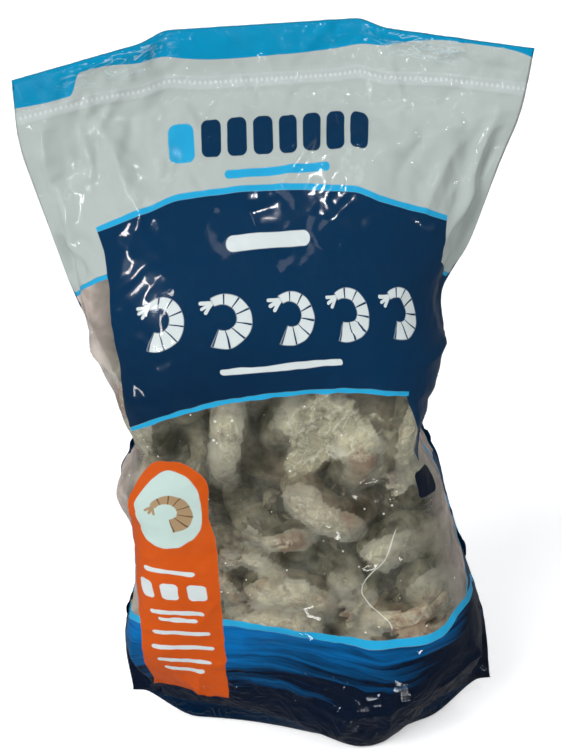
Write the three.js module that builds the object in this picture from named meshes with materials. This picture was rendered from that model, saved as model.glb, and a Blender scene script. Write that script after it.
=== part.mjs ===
// A sealed stand-up pouch of frozen raw shrimp, standing on its folded base.
// Millimetres, +Z up, the printed front faces -Y. The origin is the middle of the
// resting face. The pouch is one closed solid out to the outer face of its film.
import * as THREE from 'three';

// Driving dimensions.
const CORNER_TOP = 350;      // height of the two top corners
const MIDDLE_TOP = 367;      // height of the arched middle of the top edge
const CORNER_LIFT = 15;      // how far the bottom corners stand off the ground
const HALF_WIDTH = 120;      // half the width of the pouch when it lies flat
const SEAL_WIDTH = 8;        // flat heat-sealed strip down each side
const SEAL_HALF = 0.7;       // half the thickness of a sealed strip
const HEADER_LEAN = 15;      // how far the middle of the top edge leans back
const FOLD_LEFT = -0.4;      // where the header folds forward, from -1 at the left edge
const FOLD_RIGHT = 0.34;     // to 1 at the right edge
const FOLD_REACH = 0.12;     // width of each fold, on the same scale
const FOLD_STEP = 0.16;      // share of the arch that the two folds take up
const DIP_CENTRE = 0.3;      // where the front of the base touches the ground
const DIP_REACH = 0.42;      // half the width of that dip
const TOE_SKEW = 0.3;        // how far the foot of the front stands out more on the right
const TOE_HEIGHT = 0.3;      // share of the height where that has faded out
const BASE_FLAT = 0.62;      // share of the base that rests flat

// The pouch at thirteen heights, measured at its side edges: how far the left and the
// right edge reach from the middle, how far the front and the back stand out from
// the edges, and how full the section is (0 a pointed lens, 1 a rounded box).
const STATIONS = [
  { height: 15, left: 100, right: 100, front: 37, back: 34, fullness: 0.05 },
  { height: 50, left: 101, right: 97, front: 44, back: 40, fullness: 0.8 },
  { height: 90, left: 90, right: 86.5, front: 47, back: 44, fullness: 1 },
  { height: 130, left: 87.5, right: 76.5, front: 49, back: 45, fullness: 1 },
  { height: 148, left: 92.5, right: 73, front: 50, back: 46, fullness: 1 },
  { height: 169, left: 81, right: 65, front: 52, back: 47, fullness: 1 },
  { height: 192, left: 86, right: 71, front: 50, back: 45, fullness: 1 },
  { height: 215, left: 94, right: 77, front: 48, back: 43, fullness: 0.9 },
  { height: 238, left: 103, right: 77.5, front: 44, back: 39, fullness: 0.75 },
  { height: 262, left: 109, right: 91, front: 36, back: 31, fullness: 0.5 },
  { height: 300, left: 117, right: 105, front: 17, back: 14, fullness: 0.25 },
  { height: 322, left: 121, right: 114, front: 2.6, back: 2.4, fullness: 0.1 },
  { height: 350, left: 120.5, right: 120, front: SEAL_HALF, back: SEAL_HALF, fullness: 0 },
];
const LENS_POWER = 1.4;      // how the film bows over a pointed section
const BOX_POWER = 4.2;       // and over a full one
const SEAL_TUCK = 0.8;       // how far a full section turns its side seals back
const SECTION_STEPS = 80;    // steps that measure the film's length over half a section

// Relief.
const SHRIMP_PITCH = 36;     // spacing of the shrimp that push the film out
const SHRIMP_RELIEF = 3.2;   // height of each lump
const SHRIMP_RADIUS = 21;
const FILL_HEIGHT = 272;     // the shrimp reach up to here
const PUCKER_PITCH = 37;     // spacing of the puckers along the side edges
const PUCKER_RELIEF = 2;
const PUCKER_REACH = 34;     // how far in from the edge they fade out
const ZIP_HEIGHT = 333;      // middle of the press-to-close zip
const ZIP_WIDTH = 9;
const ZIP_RELIEF = 0.9;

// Resolution.
const COLUMNS = 40;
const ROWS = 52;
const BASE_ROWS = 8;

const smoothstep = THREE.MathUtils.smoothstep;
const lerp = THREE.MathUtils.lerp;
const clamp = THREE.MathUtils.clamp;

// Reads one field of the stations at a height, by a curve that passes through them.
function station(field, height) {
  const last = STATIONS.length - 1;
  let i = 0;
  while (i < last - 1 && height > STATIONS[i + 1].height) {
    i += 1;
  }
  const before = STATIONS[Math.max(i - 1, 0)];
  const here = STATIONS[i];
  const next = STATIONS[i + 1];
  const after = STATIONS[Math.min(i + 2, last)];
  const span = next.height - here.height;
  const t = clamp((height - here.height) / span, 0, 1);
  const slopeHere = span * (next[field] - before[field]) / (next.height - before.height);
  const slopeNext = span * (after[field] - here[field]) / (after.height - here.height);
  return (2 * t ** 3 - 3 * t ** 2 + 1) * here[field] + (t ** 3 - 2 * t ** 2 + t) * slopeHere
    + (3 * t ** 2 - 2 * t ** 3) * next[field] + (t ** 3 - t ** 2) * slopeNext;
}

// 1 between the two folds of the header, 0 at its side edges.
function headerPlateau(across) {
  const left = smoothstep(across, FOLD_LEFT - FOLD_REACH, FOLD_LEFT);
  const right = 1 - smoothstep(across, FOLD_RIGHT, FOLD_RIGHT + FOLD_REACH);
  const wing = across < FOLD_LEFT ? (1 + across) / (1 + FOLD_LEFT) : (1 - across) / (1 - FOLD_RIGHT);
  return lerp(clamp(wing, 0, 1), Math.min(left, right), FOLD_STEP);
}

// 1 where the front or back edge of the base touches the ground, 0 at the corners.
function baseDip(across) {
  return 1 - smoothstep(Math.abs(across - DIP_CENTRE), 0, DIP_REACH);
}

// How much further than its section the front stands out near the ground.
function toe(across, up) {
  return 1 + TOE_SKEW * Math.sin(Math.PI * across) * (1 - smoothstep(up, 0, TOE_HEIGHT));
}

// A fixed scatter between -1 and 1, different for each whole number.
function scatter(index) {
  const wave = Math.sin(index * 12.9898) * 43758.5453;
  return 2 * (wave - Math.floor(wave)) - 1;
}

// The lumps that the shrimp raise, at a distance along the film and up it.
function shrimpRelief(along, up) {
  const row = Math.round(up / SHRIMP_PITCH);
  const column = Math.round(along / SHRIMP_PITCH);
  let relief = 0;
  for (let j = row - 1; j <= row + 1; j += 1) {
    for (let i = column - 2; i <= column + 2; i += 1) {
      const seed = 17 * i + 101 * j;
      const x = (i + 0.5 * (j & 1) + 0.16 * scatter(seed)) * SHRIMP_PITCH;
      const z = (j + 0.16 * scatter(seed + 7)) * SHRIMP_PITCH;
      const away = Math.hypot(along - x, up - z) / SHRIMP_RADIUS;
      const height = SHRIMP_RELIEF * (0.8 + 0.35 * scatter(seed + 3));
      relief = Math.max(relief, height * clamp(1 - away * away, 0, 1));
    }
  }
  return relief * (1 - smoothstep(up, FILL_HEIGHT - SHRIMP_PITCH, FILL_HEIGHT));
}

// The puckers that gather the film beside the side seals.
function puckerRelief(inset, height) {
  const fade = clamp(1 - inset / PUCKER_REACH, 0, 1) * smoothstep(inset, 0, SEAL_WIDTH);
  const where = smoothstep(height, 30, 90) * (1 - smoothstep(height, 285, 320));
  return PUCKER_RELIEF * fade * where * Math.sin(2 * Math.PI * height / PUCKER_PITCH);
}

// The two ribs of the zip.
function zipRelief(height) {
  const away = Math.abs(height - ZIP_HEIGHT) / (ZIP_WIDTH / 2);
  return away < 1 ? ZIP_RELIEF * Math.abs(Math.sin(Math.PI * away)) : 0;
}

// Half a section, from the middle of the film (share 0) to the inner edge of the side
// seal (share 1), stepped evenly along the film: how far out it is there, and how deep.
function sectionPoint(reach, bulge, fullness, share) {
  const power = lerp(LENS_POWER, BOX_POWER, fullness);
  const root = lerp(1, 1 / BOX_POWER, fullness);
  const points = [];
  let length = 0;
  for (let i = 0; i <= SECTION_STEPS; i += 1) {
    const out = Math.sin(0.5 * Math.PI * i / SECTION_STEPS);
    const point = { out: out * reach, depth: bulge * (1 - out ** power) ** root };
    if (i > 0) {
      length += Math.hypot(point.out - points[i - 1].out, point.depth - points[i - 1].depth);
    }
    point.length = length;
    points.push(point);
  }
  const wanted = share * length;
  const next = Math.max(points.findIndex((point) => point.length >= wanted), 1);
  const before = points[next - 1];
  const after = points[next];
  const t = clamp((wanted - before.length) / (after.length - before.length), 0, 1);
  return { out: lerp(before.out, after.out, t), depth: lerp(before.depth, after.depth, t) };
}

// A point of the front (side -1) or the back (side 1) of the pouch. "across" runs from
// -1 at the left edge to 1 at the right edge, and "up" from 0 at the base to 1 at the top.
function filmPoint(side, across, up) {
  const edgeHeight = lerp(CORNER_LIFT, CORNER_TOP, up);
  const inset = HALF_WIDTH * (1 - Math.abs(across));
  const share = (HALF_WIDTH - inset) / (HALF_WIDTH - SEAL_WIDTH);
  const reach = station(across < 0 ? 'left' : 'right', edgeHeight);
  const bulge = station(side < 0 ? 'front' : 'back', edgeHeight) - SEAL_HALF;
  const fullness = clamp(station('fullness', edgeHeight), 0, 1);
  const tuck = SEAL_TUCK * smoothstep(fullness, 0.4, 1);
  const inner = reach - SEAL_WIDTH * (1 - tuck);
  const section = sectionPoint(inner, bulge, fullness, Math.min(share, 1));
  const onSeal = Math.max(SEAL_WIDTH - inset, 0);
  const plateau = headerPlateau(across);
  const arch = lerp(baseDip(across), plateau, smoothstep(up, 0.3, 0.7));
  const height = lerp(edgeHeight, MIDDLE_TOP * up, arch);
  const free = smoothstep(inset, SEAL_WIDTH, 3 * SEAL_WIDTH) * smoothstep(up, 0.04, 0.14);
  const lumps = free * shrimpRelief(HALF_WIDTH * across + (side > 0 ? 400 : 0), height);
  const zip = inset < SEAL_WIDTH ? 0 : zipRelief(lerp(CORNER_LIFT, CORNER_TOP, up));
  const bow = section.depth * (side < 0 ? toe(across, up) : 1);
  const depth = SEAL_HALF + bow + lumps + zip;
  const lean = HEADER_LEAN * plateau * smoothstep(up, 0.62, 1);
  const middle = lean + puckerRelief(inset, height) + tuck * onSeal;
  const out = section.out + (1 - tuck) * onSeal;
  return new THREE.Vector3(Math.sign(across) * out, middle + side * depth, height);
}

// The columns of the loft: the two seals, and even steps between them.
function columnPlaces() {
  const inner = 1 - SEAL_WIDTH / HALF_WIDTH;
  const places = [-1];
  for (let i = 0; i <= COLUMNS; i += 1) {
    places.push(inner * (2 * i / COLUMNS - 1));
  }
  places.push(1);
  return places;
}

// A point of the folded base between the front edge (0) and the back edge (1).
function basePoint(across, depth) {
  const front = filmPoint(-1, across, 0);
  const back = filmPoint(1, across, 0);
  const share = Math.abs(across) === 1 ? Math.round(depth) : depth;
  const point = front.clone().lerp(back, share);
  const middle = 1 - smoothstep(Math.abs(2 * depth - 1), BASE_FLAT, 1);
  const resting = middle * (1 - smoothstep(Math.abs(across), BASE_FLAT, 0.97));
  point.z *= 1 - resting;
  return point;
}

// The whole outer face: front, back, the thin rims of the seals, and the base.
function pouchGeometry() {
  const places = columnPlaces();
  const positions = [];
  const index = [];
  const vertices = new Map();

  function vertex(point) {
    const key = point.toArray().map((value) => value.toFixed(4)).join();
    if (!vertices.has(key)) {
      vertices.set(key, positions.length / 3);
      positions.push(point.x, point.y, point.z);
    }
    return vertices.get(key);
  }

  function triangle(a, b, c) {
    if (a !== b && b !== c && c !== a) {
      index.push(a, b, c);
    }
  }

  // Joins a grid of points into triangles, turned over where "flip" says so.
  function sheet(grid, flip) {
    for (let j = 0; j + 1 < grid.length; j += 1) {
      for (let i = 0; i + 1 < grid[j].length; i += 1) {
        const corners = [grid[j][i], grid[j][i + 1], grid[j + 1][i + 1], grid[j + 1][i]];
        if (flip) {
          corners.reverse();
        }
        triangle(corners[0], corners[1], corners[2]);
        triangle(corners[0], corners[2], corners[3]);
      }
    }
  }

  function film(side) {
    const grid = [];
    for (let j = 0; j <= ROWS; j += 1) {
      grid.push(places.map((across) => vertex(filmPoint(side, across, j / ROWS))));
    }
    return grid;
  }

  const front = film(-1);
  const back = film(1);
  const base = [];
  for (let j = 0; j <= BASE_ROWS; j += 1) {
    base.push(places.map((across) => vertex(basePoint(across, j / BASE_ROWS))));
  }
  const edge = (grid, column) => grid.map((row) => row[column]);
  sheet(front, false);
  sheet(back, true);
  sheet(base, true);
  sheet([front[ROWS], back[ROWS]], false);
  sheet([edge(back, 0), edge(front, 0)], true);
  sheet([edge(back, places.length - 1), edge(front, places.length - 1)], false);

  const geometry = new THREE.BufferGeometry();
  geometry.setAttribute('position', new THREE.Float32BufferAttribute(positions, 3));
  geometry.setIndex(index);
  geometry.computeVertexNormals();
  return geometry;
}

const printedFilm = new THREE.MeshStandardMaterial({ color: 0x1b3f5c, roughness: 0.25, metalness: 0 });

const bag = new THREE.Mesh(pouchGeometry(), printedFilm);
bag.name = 'bag';

const pouch = new THREE.Group();
pouch.name = 'pouch';
pouch.add(bag);

export default pouch;
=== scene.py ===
# %% [markdown]
# # A sealed pouch of frozen raw shrimp
# The real object is a plastic stand-up pouch: two printed films sealed along their edges, a
# folded base that lets it stand, and about eighty frozen shrimp inside that push the film out.
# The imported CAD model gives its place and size, and here it gets its film, print and filling.
# Everything is in metres, as the frame is, but the flat film is easier to think of in mm.

# %% The frame and the tools of this lesson
import math
import bpy
import numpy as np
from mathutils import Matrix, Vector
from mathutils.bvhtree import BVHTree
from mathutils.kdtree import KDTree


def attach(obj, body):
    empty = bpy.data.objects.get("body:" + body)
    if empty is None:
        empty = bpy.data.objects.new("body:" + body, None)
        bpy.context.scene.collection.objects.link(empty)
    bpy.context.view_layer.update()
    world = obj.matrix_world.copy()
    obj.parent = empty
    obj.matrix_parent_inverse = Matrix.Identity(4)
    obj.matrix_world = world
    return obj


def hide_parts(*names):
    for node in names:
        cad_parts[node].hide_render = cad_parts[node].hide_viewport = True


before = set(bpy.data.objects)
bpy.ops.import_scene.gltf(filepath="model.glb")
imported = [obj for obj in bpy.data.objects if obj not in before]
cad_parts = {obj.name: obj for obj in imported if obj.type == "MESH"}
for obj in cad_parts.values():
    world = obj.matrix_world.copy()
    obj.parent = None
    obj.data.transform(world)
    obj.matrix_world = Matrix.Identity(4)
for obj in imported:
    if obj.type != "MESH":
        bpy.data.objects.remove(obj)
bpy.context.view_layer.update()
bpy.ops.object.select_all(action="DESELECT")
MM = 0.001
rng = np.random.default_rng(31)

# %% [markdown]
# ## The camera
# The photograph was taken by hand from a little above, with the phone turned slightly. The four
# corners of the pouch and its known width give the lens, the place and the three turns.

# %% Camera
PHOTO_WIDTH = 562
FOCAL_PIXELS = 1197.9
SENSOR = 36
PITCH, YAW, ROLL = math.radians(20.435), math.radians(-3.188), math.radians(-3.851)
EYE = Vector((26.48, -561.93, 407.87)) * MM

bpy.ops.object.camera_add()
camera = bpy.context.object
camera.data.sensor_fit = "HORIZONTAL"
camera.data.sensor_width = SENSOR
camera.data.lens = FOCAL_PIXELS / PHOTO_WIDTH * SENSOR
turn = (Matrix.Rotation(-YAW, 4, "Z") @ Matrix.Rotation(math.pi / 2 - PITCH, 4, "X")
        @ Matrix.Rotation(ROLL, 4, "Z"))
camera.matrix_world = Matrix.Translation(EYE) @ turn
bpy.context.scene.camera = camera
print("lens", round(camera.data.lens, 1), "mm")

# %% [markdown]
# ## The shape of the film
# A pouch is flat film pushed out by what is in it. The film could be inflated by a simulation from
# two flat sheets, but its outline would then be an accident. Here each point of the flat film is
# placed by the sections of the CAD loft: how far the side edges reach at each height, how far the
# front and the back stand out, and how full the section is. Wrinkles come later, on top.

# %% Sizes of the pouch, in mm
CORNER_TOP, MIDDLE_TOP, CORNER_LIFT = 350, 367, 15
HALF_WIDTH, SEAL_WIDTH, SEAL_HALF = 120, 8, 0.7
HEADER_LEAN, FOLD_LEFT, FOLD_RIGHT, FOLD_REACH, FOLD_STEP = 15, -0.4, 0.34, 0.12, 0.16
DIP_CENTRE, DIP_REACH, TOE_SKEW, TOE_HEIGHT, BASE_FLAT = 0.3, 0.42, 0.3, 0.3, 0.62
LENS_POWER, BOX_POWER, SEAL_TUCK = 1.4, 4.2, 0.8
PUCKER_PITCH, PUCKER_RELIEF, PUCKER_REACH = 37, 2, 34
# Height of the edge, left and right reach, how far front and back stand out, fullness.
STATIONS = np.array([
    (15, 100, 100, 37, 34, 0.05), (50, 101, 97, 44, 40, 0.8), (90, 90, 86.5, 47, 44, 1),
    (130, 87.5, 76.5, 49, 45, 1), (148, 92.5, 73, 50, 46, 1), (169, 81, 65, 52, 47, 1),
    (192, 86, 71, 50, 45, 1), (215, 94, 77, 48, 43, 0.9), (238, 103, 77.5, 44, 39, 0.75),
    (262, 109, 91, 36, 31, 0.5), (300, 117, 105, 17, 14, 0.25), (322, 121, 114, 2.6, 2.4, 0.1),
    (350, 120.5, 120, SEAL_HALF, SEAL_HALF, 0)])
LEFT, RIGHT, FRONT, BACK, FULL = 1, 2, 3, 4, 5


def smoothstep(x, low, high):
    t = np.clip((x - low) / (high - low), 0, 1)
    return t * t * (3 - 2 * t)


def mix(a, b, t):
    return a + (b - a) * t


def station(field, height):
    """One field of the stations at a height, by a curve through them."""
    heights, values = STATIONS[:, 0], STATIONS[:, field]
    last = len(values) - 1
    i = int(np.clip(np.searchsorted(heights, height) - 1, 0, last - 1))
    before, after = max(i - 1, 0), min(i + 2, last)
    span = heights[i + 1] - heights[i]
    t = np.clip((height - heights[i]) / span, 0, 1)
    slope = span * (values[i + 1] - values[before]) / (heights[i + 1] - heights[before])
    next_slope = span * (values[after] - values[i]) / (heights[after] - heights[i])
    return ((2 * t**3 - 3 * t**2 + 1) * values[i] + (t**3 - 2 * t**2 + t) * slope
            + (3 * t**2 - 2 * t**3) * values[i + 1] + (t**3 - t**2) * next_slope)


WAIST = 192
print("waist in mm:", round(float(station(LEFT, WAIST) + station(RIGHT, WAIST))), "wide")


# %% The folds of the header and the dip of the base
def header_plateau(across):
    left = smoothstep(across, FOLD_LEFT - FOLD_REACH, FOLD_LEFT)
    right = 1 - smoothstep(across, FOLD_RIGHT, FOLD_RIGHT + FOLD_REACH)
    wing = np.where(across < FOLD_LEFT, (1 + across) / (1 + FOLD_LEFT), (1 - across) / (1 - FOLD_RIGHT))
    return mix(np.clip(wing, 0, 1), np.minimum(left, right), FOLD_STEP)


def base_dip(across):
    return 1 - smoothstep(np.abs(across - DIP_CENTRE), 0, DIP_REACH)


def half_section(reach, bulge, fullness, share):
    """From the middle of the film (share 0) to its side seal (1): how far out, and how deep."""
    out = np.sin(np.linspace(0, math.pi / 2, 81))
    depth = bulge * (1 - out ** mix(LENS_POWER, BOX_POWER, fullness)) ** mix(1, 1 / BOX_POWER, fullness)
    out = out * reach
    length = np.concatenate([[0], np.cumsum(np.hypot(np.diff(out), np.diff(depth)))])
    return np.interp(share * length[-1], length, out), np.interp(share * length[-1], length, depth)


print("a soft and a full section at half their reach:",
      [round(float(half_section(1, 1, fullness, 0.5)[1]), 2) for fullness in (0, 1)])


# %% One level line of the film
def film_row(side, across, up):
    """Points of the front (side -1) or back (1). across is -1 to 1, up is 0 to 1."""
    edge_height = mix(CORNER_LIFT, CORNER_TOP, up)
    inset = HALF_WIDTH * (1 - np.abs(across))
    share = np.minimum((HALF_WIDTH - inset) / (HALF_WIDTH - SEAL_WIDTH), 1)
    bulge = station(FRONT if side < 0 else BACK, edge_height) - SEAL_HALF
    fullness = float(np.clip(station(FULL, edge_height), 0, 1))
    tuck = SEAL_TUCK * smoothstep(fullness, 0.4, 1)
    on_seal = np.maximum(SEAL_WIDTH - inset, 0)
    halves = [half_section(station(field, edge_height) - SEAL_WIDTH * (1 - tuck), bulge, fullness, share)
              for field in (LEFT, RIGHT)]
    out = np.where(across < 0, halves[0][0], halves[1][0]) + (1 - tuck) * on_seal
    depth = np.where(across < 0, halves[0][1], halves[1][1])
    if side < 0:
        depth = depth * (1 + TOE_SKEW * np.sin(math.pi * across) * (1 - smoothstep(up, 0, TOE_HEIGHT)))
    plateau = header_plateau(across)
    arch = mix(base_dip(across), plateau, smoothstep(up, 0.3, 0.7))
    height = mix(edge_height, MIDDLE_TOP * up, arch)
    fade = np.clip(1 - inset / PUCKER_REACH, 0, 1) * smoothstep(inset, 0, SEAL_WIDTH)
    fade = fade * smoothstep(height, 30, 90) * (1 - smoothstep(height, 285, 320))
    pucker = PUCKER_RELIEF * fade * np.sin(2 * math.pi * height / PUCKER_PITCH)
    middle = HEADER_LEAN * plateau * smoothstep(up, 0.62, 1) + pucker + tuck * on_seal
    rim = SEAL_HALF * np.minimum(inset, HALF_WIDTH * (1 - up) / 2 + 0.001).clip(0, 1)
    return np.stack([np.sign(across) * out, middle + side * (rim + depth), height], axis=1)


print("middle of the front at half height, in mm:", film_row(-1, np.zeros(1), 0.5).round(1))


# %% [markdown]
# ## The film as a mesh
# Each side starts as Blender's flat grid. Its own UV map stays flat, in metres of film, so that the
# print can later be drawn as on the flat sheet and follows every fold. Three grids are placed by the
# loft, joined and welded along their edges into one closed skin.

# %% Sizes of the grids, and where the panels lie on the flat sheet
COLUMNS, ROWS, BASE_ROWS = 84, 130, 16
PANEL_PLACE = {"front": 0.2, "back": 0.6}      # where each panel lies on the flat sheet, in metres
BETWEEN_PANELS = 0.4                            # the front lies left of it, the back right of it
BASE_PLACE, BASE_HALF, BASE_FROM = 0.5, 0.04, 0.44    # the base lies above both
print("panels on the flat sheet at", PANEL_PLACE)


# %% Arrays of a mesh, which the next steps read and write
def array_of(items, what, width, kind=float):
    """One property of all vertices, edges or corners, as rows of numbers."""
    values = np.zeros(len(items) * width, dtype=kind)
    items.foreach_get(what, values)
    return values.reshape(-1, width)


def points_of(mesh):
    return array_of(mesh.vertices, "co", 3)


def normals_of(mesh):
    return array_of(mesh.vertex_normals, "vector", 3)


def move_to(mesh, points):
    mesh.vertices.foreach_set("co", points.ravel())
    mesh.update()


def flat_of(mesh):
    """The flat place of each vertex, from the UV map, in metres of film."""
    flat = np.zeros((len(mesh.vertices), 2))
    corner = array_of(mesh.loops, "vertex_index", 1, int)[:, 0]
    flat[corner] = array_of(mesh.uv_layers["flat"].data, "uv", 2)
    return flat


def sheet_shares(flat):
    """Across the panel from -1 to 1 between its edges, and up it from 0 to 1."""
    from_middle = np.where(flat[:, 0] < BETWEEN_PANELS, flat[:, 0] - PANEL_PLACE["front"],
                           flat[:, 0] - PANEL_PLACE["back"])
    return from_middle / (HALF_WIDTH * MM), flat[:, 1] / (MIDDLE_TOP * MM)


# %% A grid becomes a side of the pouch
def panel(name, rows, place, sheet_place):
    """A grid whose points are moved by place(across, up), with a flat UV map."""
    bpy.ops.mesh.primitive_grid_add(x_subdivisions=COLUMNS, y_subdivisions=rows, size=2)
    made = bpy.context.object
    made.name = name
    grid = points_of(made.data)
    lines = grid.reshape(rows + 1, COLUMNS + 1, 3)
    placed = np.stack([place(line[:, 0], (line[0, 1] + 1) / 2) for line in lines])
    move_to(made.data, placed * MM)
    corners = array_of(made.data.loops, "vertex_index", 1, int)[:, 0]
    made.data.uv_layers[0].name = "flat"
    made.data.uv_layers["flat"].data.foreach_set("uv", sheet_place(grid[corners]).ravel())
    return made


def flat_panel(name):
    turn_over = 1 if name == "front" else -1
    return lambda p: np.stack([PANEL_PLACE[name] + turn_over * p[:, 0] * HALF_WIDTH * MM,
                               (p[:, 1] + 1) / 2 * MIDDLE_TOP * MM], axis=1)


def base_row(across, depth):
    """The folded base between the front edge (depth 0) and the back edge (1)."""
    front, back = film_row(-1, across, 0), film_row(1, across, 0)
    share = np.where(np.abs(across) > 0.999, round(float(depth)), depth)[:, None]
    points = mix(front, back, share)
    resting = 1 - smoothstep(abs(2 * depth - 1), BASE_FLAT, 1)
    resting = resting * (1 - smoothstep(np.abs(across), BASE_FLAT, 0.97))
    points[:, 2] *= 1 - resting
    return points


def flat_base(p):
    return np.stack([PANEL_PLACE["front"] + p[:, 0] * HALF_WIDTH * MM,
                     BASE_PLACE + p[:, 1] * BASE_HALF], axis=1)


# %% The three panels
front = panel("front", ROWS, lambda a, u: film_row(-1, a, u), flat_panel("front"))
back = panel("back", ROWS, lambda a, u: film_row(1, a, u), flat_panel("back"))
base = panel("base", BASE_ROWS, base_row, flat_base)
print("three panels of", COLUMNS, "x", ROWS, "cells")

# %% Weld the panels into one skin
FRONT_PRINT, BACK_PRINT, BASE_PRINT = 0, 1, 2
bpy.ops.object.select_all(action="DESELECT")
for part in (back, base, front):
    part.select_set(True)
bpy.context.view_layer.objects.active = front
bpy.ops.object.join()
film = bpy.context.object
film.name = "film"
bpy.ops.object.mode_set(mode="EDIT")
bpy.ops.mesh.select_all(action="SELECT")
bpy.ops.mesh.remove_doubles(threshold=0.05 * MM)
bpy.ops.mesh.normals_make_consistent(inside=False)
bpy.ops.object.mode_set(mode="OBJECT")
for _ in range(3):
    film.data.materials.append(None)
sheet = film.data.uv_layers["flat"].data
for face in film.data.polygons:
    u, v = sheet[face.loop_start].uv
    on_back = BACK_PRINT if u > BETWEEN_PANELS else FRONT_PRINT
    face.material_index = BASE_PRINT if v > BASE_FROM else on_back
amounts = np.bincount([face.material_index for face in film.data.polygons])
print("skin:", len(film.data.vertices), "points; faces of front, back and base:", amounts)

# %% Keep the points of the loft, for when the header is pressed
loft = film.data.attributes.new("loft", "FLOAT_VECTOR", "POINT")
loft.data.foreach_set("vector", points_of(film.data).ravel())
print("the points of the loft are kept as an attribute")


# %% [markdown]
# ## One shrimp
# A headless shrimp is a tapered tail of six shell plates, each tucked under the one before it, with
# a row of swimmerets below and a fan of five blades at the end. It is modelled straight, as on a
# drawing board: a circle is extruded ring by ring, wider at the end of each plate. Frost is a Displace
# modifier, and the curl is a Simple Deform bend, so one body gives several different shrimp.

# %% Sizes of a shrimp, in mm
BODY_LENGTH, FAN_LENGTH = 78, 17
HEAD_HIGH, HEAD_WIDE = 11, 9.6
PLATES = 6
SHRIMP_LENGTH = BODY_LENGTH + FAN_LENGTH


def body_taper(t):
    """How thick the body is at a share of its length: full to a third, then narrower."""
    return 1 - 0.56 * t ** 1.7 - 0.1 * (1 - min(t / 0.12, 1)) ** 2


def plate_rings():
    """(share of length, size) of each ring, in the order in which they are extruded."""
    rings = []
    for plate in range(PLATES):
        for within, flare in ((0.04, 0.93), (0.16, 0.985), (0.5, 1.02), (0.86, 1.05), (0.99, 1.06)):
            t = (plate + within) / PLATES
            rings.append((t, body_taper(t) * flare))
    return rings


print("a body of", len(plate_rings()), "rings;", "its end is", round(body_taper(1), 2), "of its full size")


# %% Extrude the body
def shrimp_body():
    start = -SHRIMP_LENGTH / 2
    bpy.ops.mesh.primitive_circle_add(vertices=14, radius=1, fill_type="NGON", rotation=(0, math.pi / 2, 0))
    bpy.ops.object.transform_apply()
    body = bpy.context.object
    bpy.ops.object.mode_set(mode="EDIT")
    bpy.ops.mesh.select_all(action="SELECT")
    bpy.ops.transform.translate(value=(start, 0, 0))
    x, size = start, 0.55
    bpy.ops.transform.resize(value=(1, HEAD_HIGH * size, HEAD_WIDE * size), center_override=(x, 0, 0))
    for t, new_size in plate_rings():
        step = start + t * BODY_LENGTH - x
        bpy.ops.mesh.extrude_region_move(TRANSFORM_OT_translate={"value": (step, 0, 0)})
        x += step
        grow = new_size / size
        bpy.ops.transform.resize(value=(1, grow, grow), center_override=(x, 0, 0))
        size = new_size
    bpy.ops.mesh.extrude_region_move(TRANSFORM_OT_translate={"value": (2, 0, 0)})
    bpy.ops.transform.resize(value=(1, 0.5, 0.5), center_override=(x + 2, 0, 0))
    bpy.ops.mesh.select_all(action="SELECT")
    bpy.ops.mesh.normals_make_consistent(inside=False)
    bpy.ops.object.mode_set(mode="OBJECT")
    return body


# %% A blade of the fan, or a swimmeret: a flattened, pointed ball
def blade(length, width, thick, root, lean, spread):
    """Starts at root. It leans towards the belly (+Y) and spreads to the side (Z), in radians."""
    bpy.ops.mesh.primitive_uv_sphere_add(segments=8, ring_count=6, radius=1, rotation=(0, math.pi / 2, 0))
    bpy.ops.object.transform_apply()
    made = bpy.context.object
    bpy.ops.object.mode_set(mode="EDIT")
    bpy.ops.mesh.select_all(action="SELECT")
    bpy.ops.transform.resize(value=(length / 2, thick / 2, width / 2))
    bpy.ops.transform.translate(value=(length / 2, 0, 0))
    bpy.ops.mesh.select_all(action="DESELECT")
    bpy.ops.object.mode_set(mode="OBJECT")
    for vertex in made.data.vertices:
        vertex.select = vertex.co.x < length * 0.35
    bpy.ops.object.mode_set(mode="EDIT")
    bpy.ops.transform.resize(value=(1, 1.6, 0.45), center_override=(0, 0, 0))
    bpy.ops.object.mode_set(mode="OBJECT")
    place = Matrix.Translation(root) @ Matrix.Rotation(-spread, 4, "Y") @ Matrix.Rotation(lean, 4, "Z")
    made.data.transform(place)
    return made


def shrimp_trimmings():
    end = -SHRIMP_LENGTH / 2 + BODY_LENGTH
    parts = [blade(FAN_LENGTH * 0.9, 3.2, 2.2, (end - 1, -1.2, 0), 0.05, 0)]
    for side in (-1, 1):
        parts.append(blade(FAN_LENGTH, 6.5, 1.1, (end - 1.5, 0.4, side * 1.6), 0.06, side * 0.16))
        parts.append(blade(FAN_LENGTH * 0.93, 6.2, 1.1, (end - 2, 1.2, side * 2.4), 0.14, side * 0.42))
        for pair in range(5):
            t = (pair + 0.62) / PLATES
            depth = HEAD_HIGH * body_taper(t) * 0.86
            root = (-SHRIMP_LENGTH / 2 + t * BODY_LENGTH, depth, side * 3.4 * body_taper(t))
            parts.append(blade(9 * body_taper(t), 3.4, 1.3, root, 0.75, side * 0.25))
    return parts


# %% [markdown]
# ## What the shrimp's skin must know
# The shell has bands at the edge of each plate, a dark line along the back and red-brown blades. A
# pattern that follows a curled body can't be read from object coordinates, so the straight shrimp
# writes it down first: a point attribute with the place along the body, the place from back to belly
# and the kind of part. It is copied along with every later bend and turn.

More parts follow.
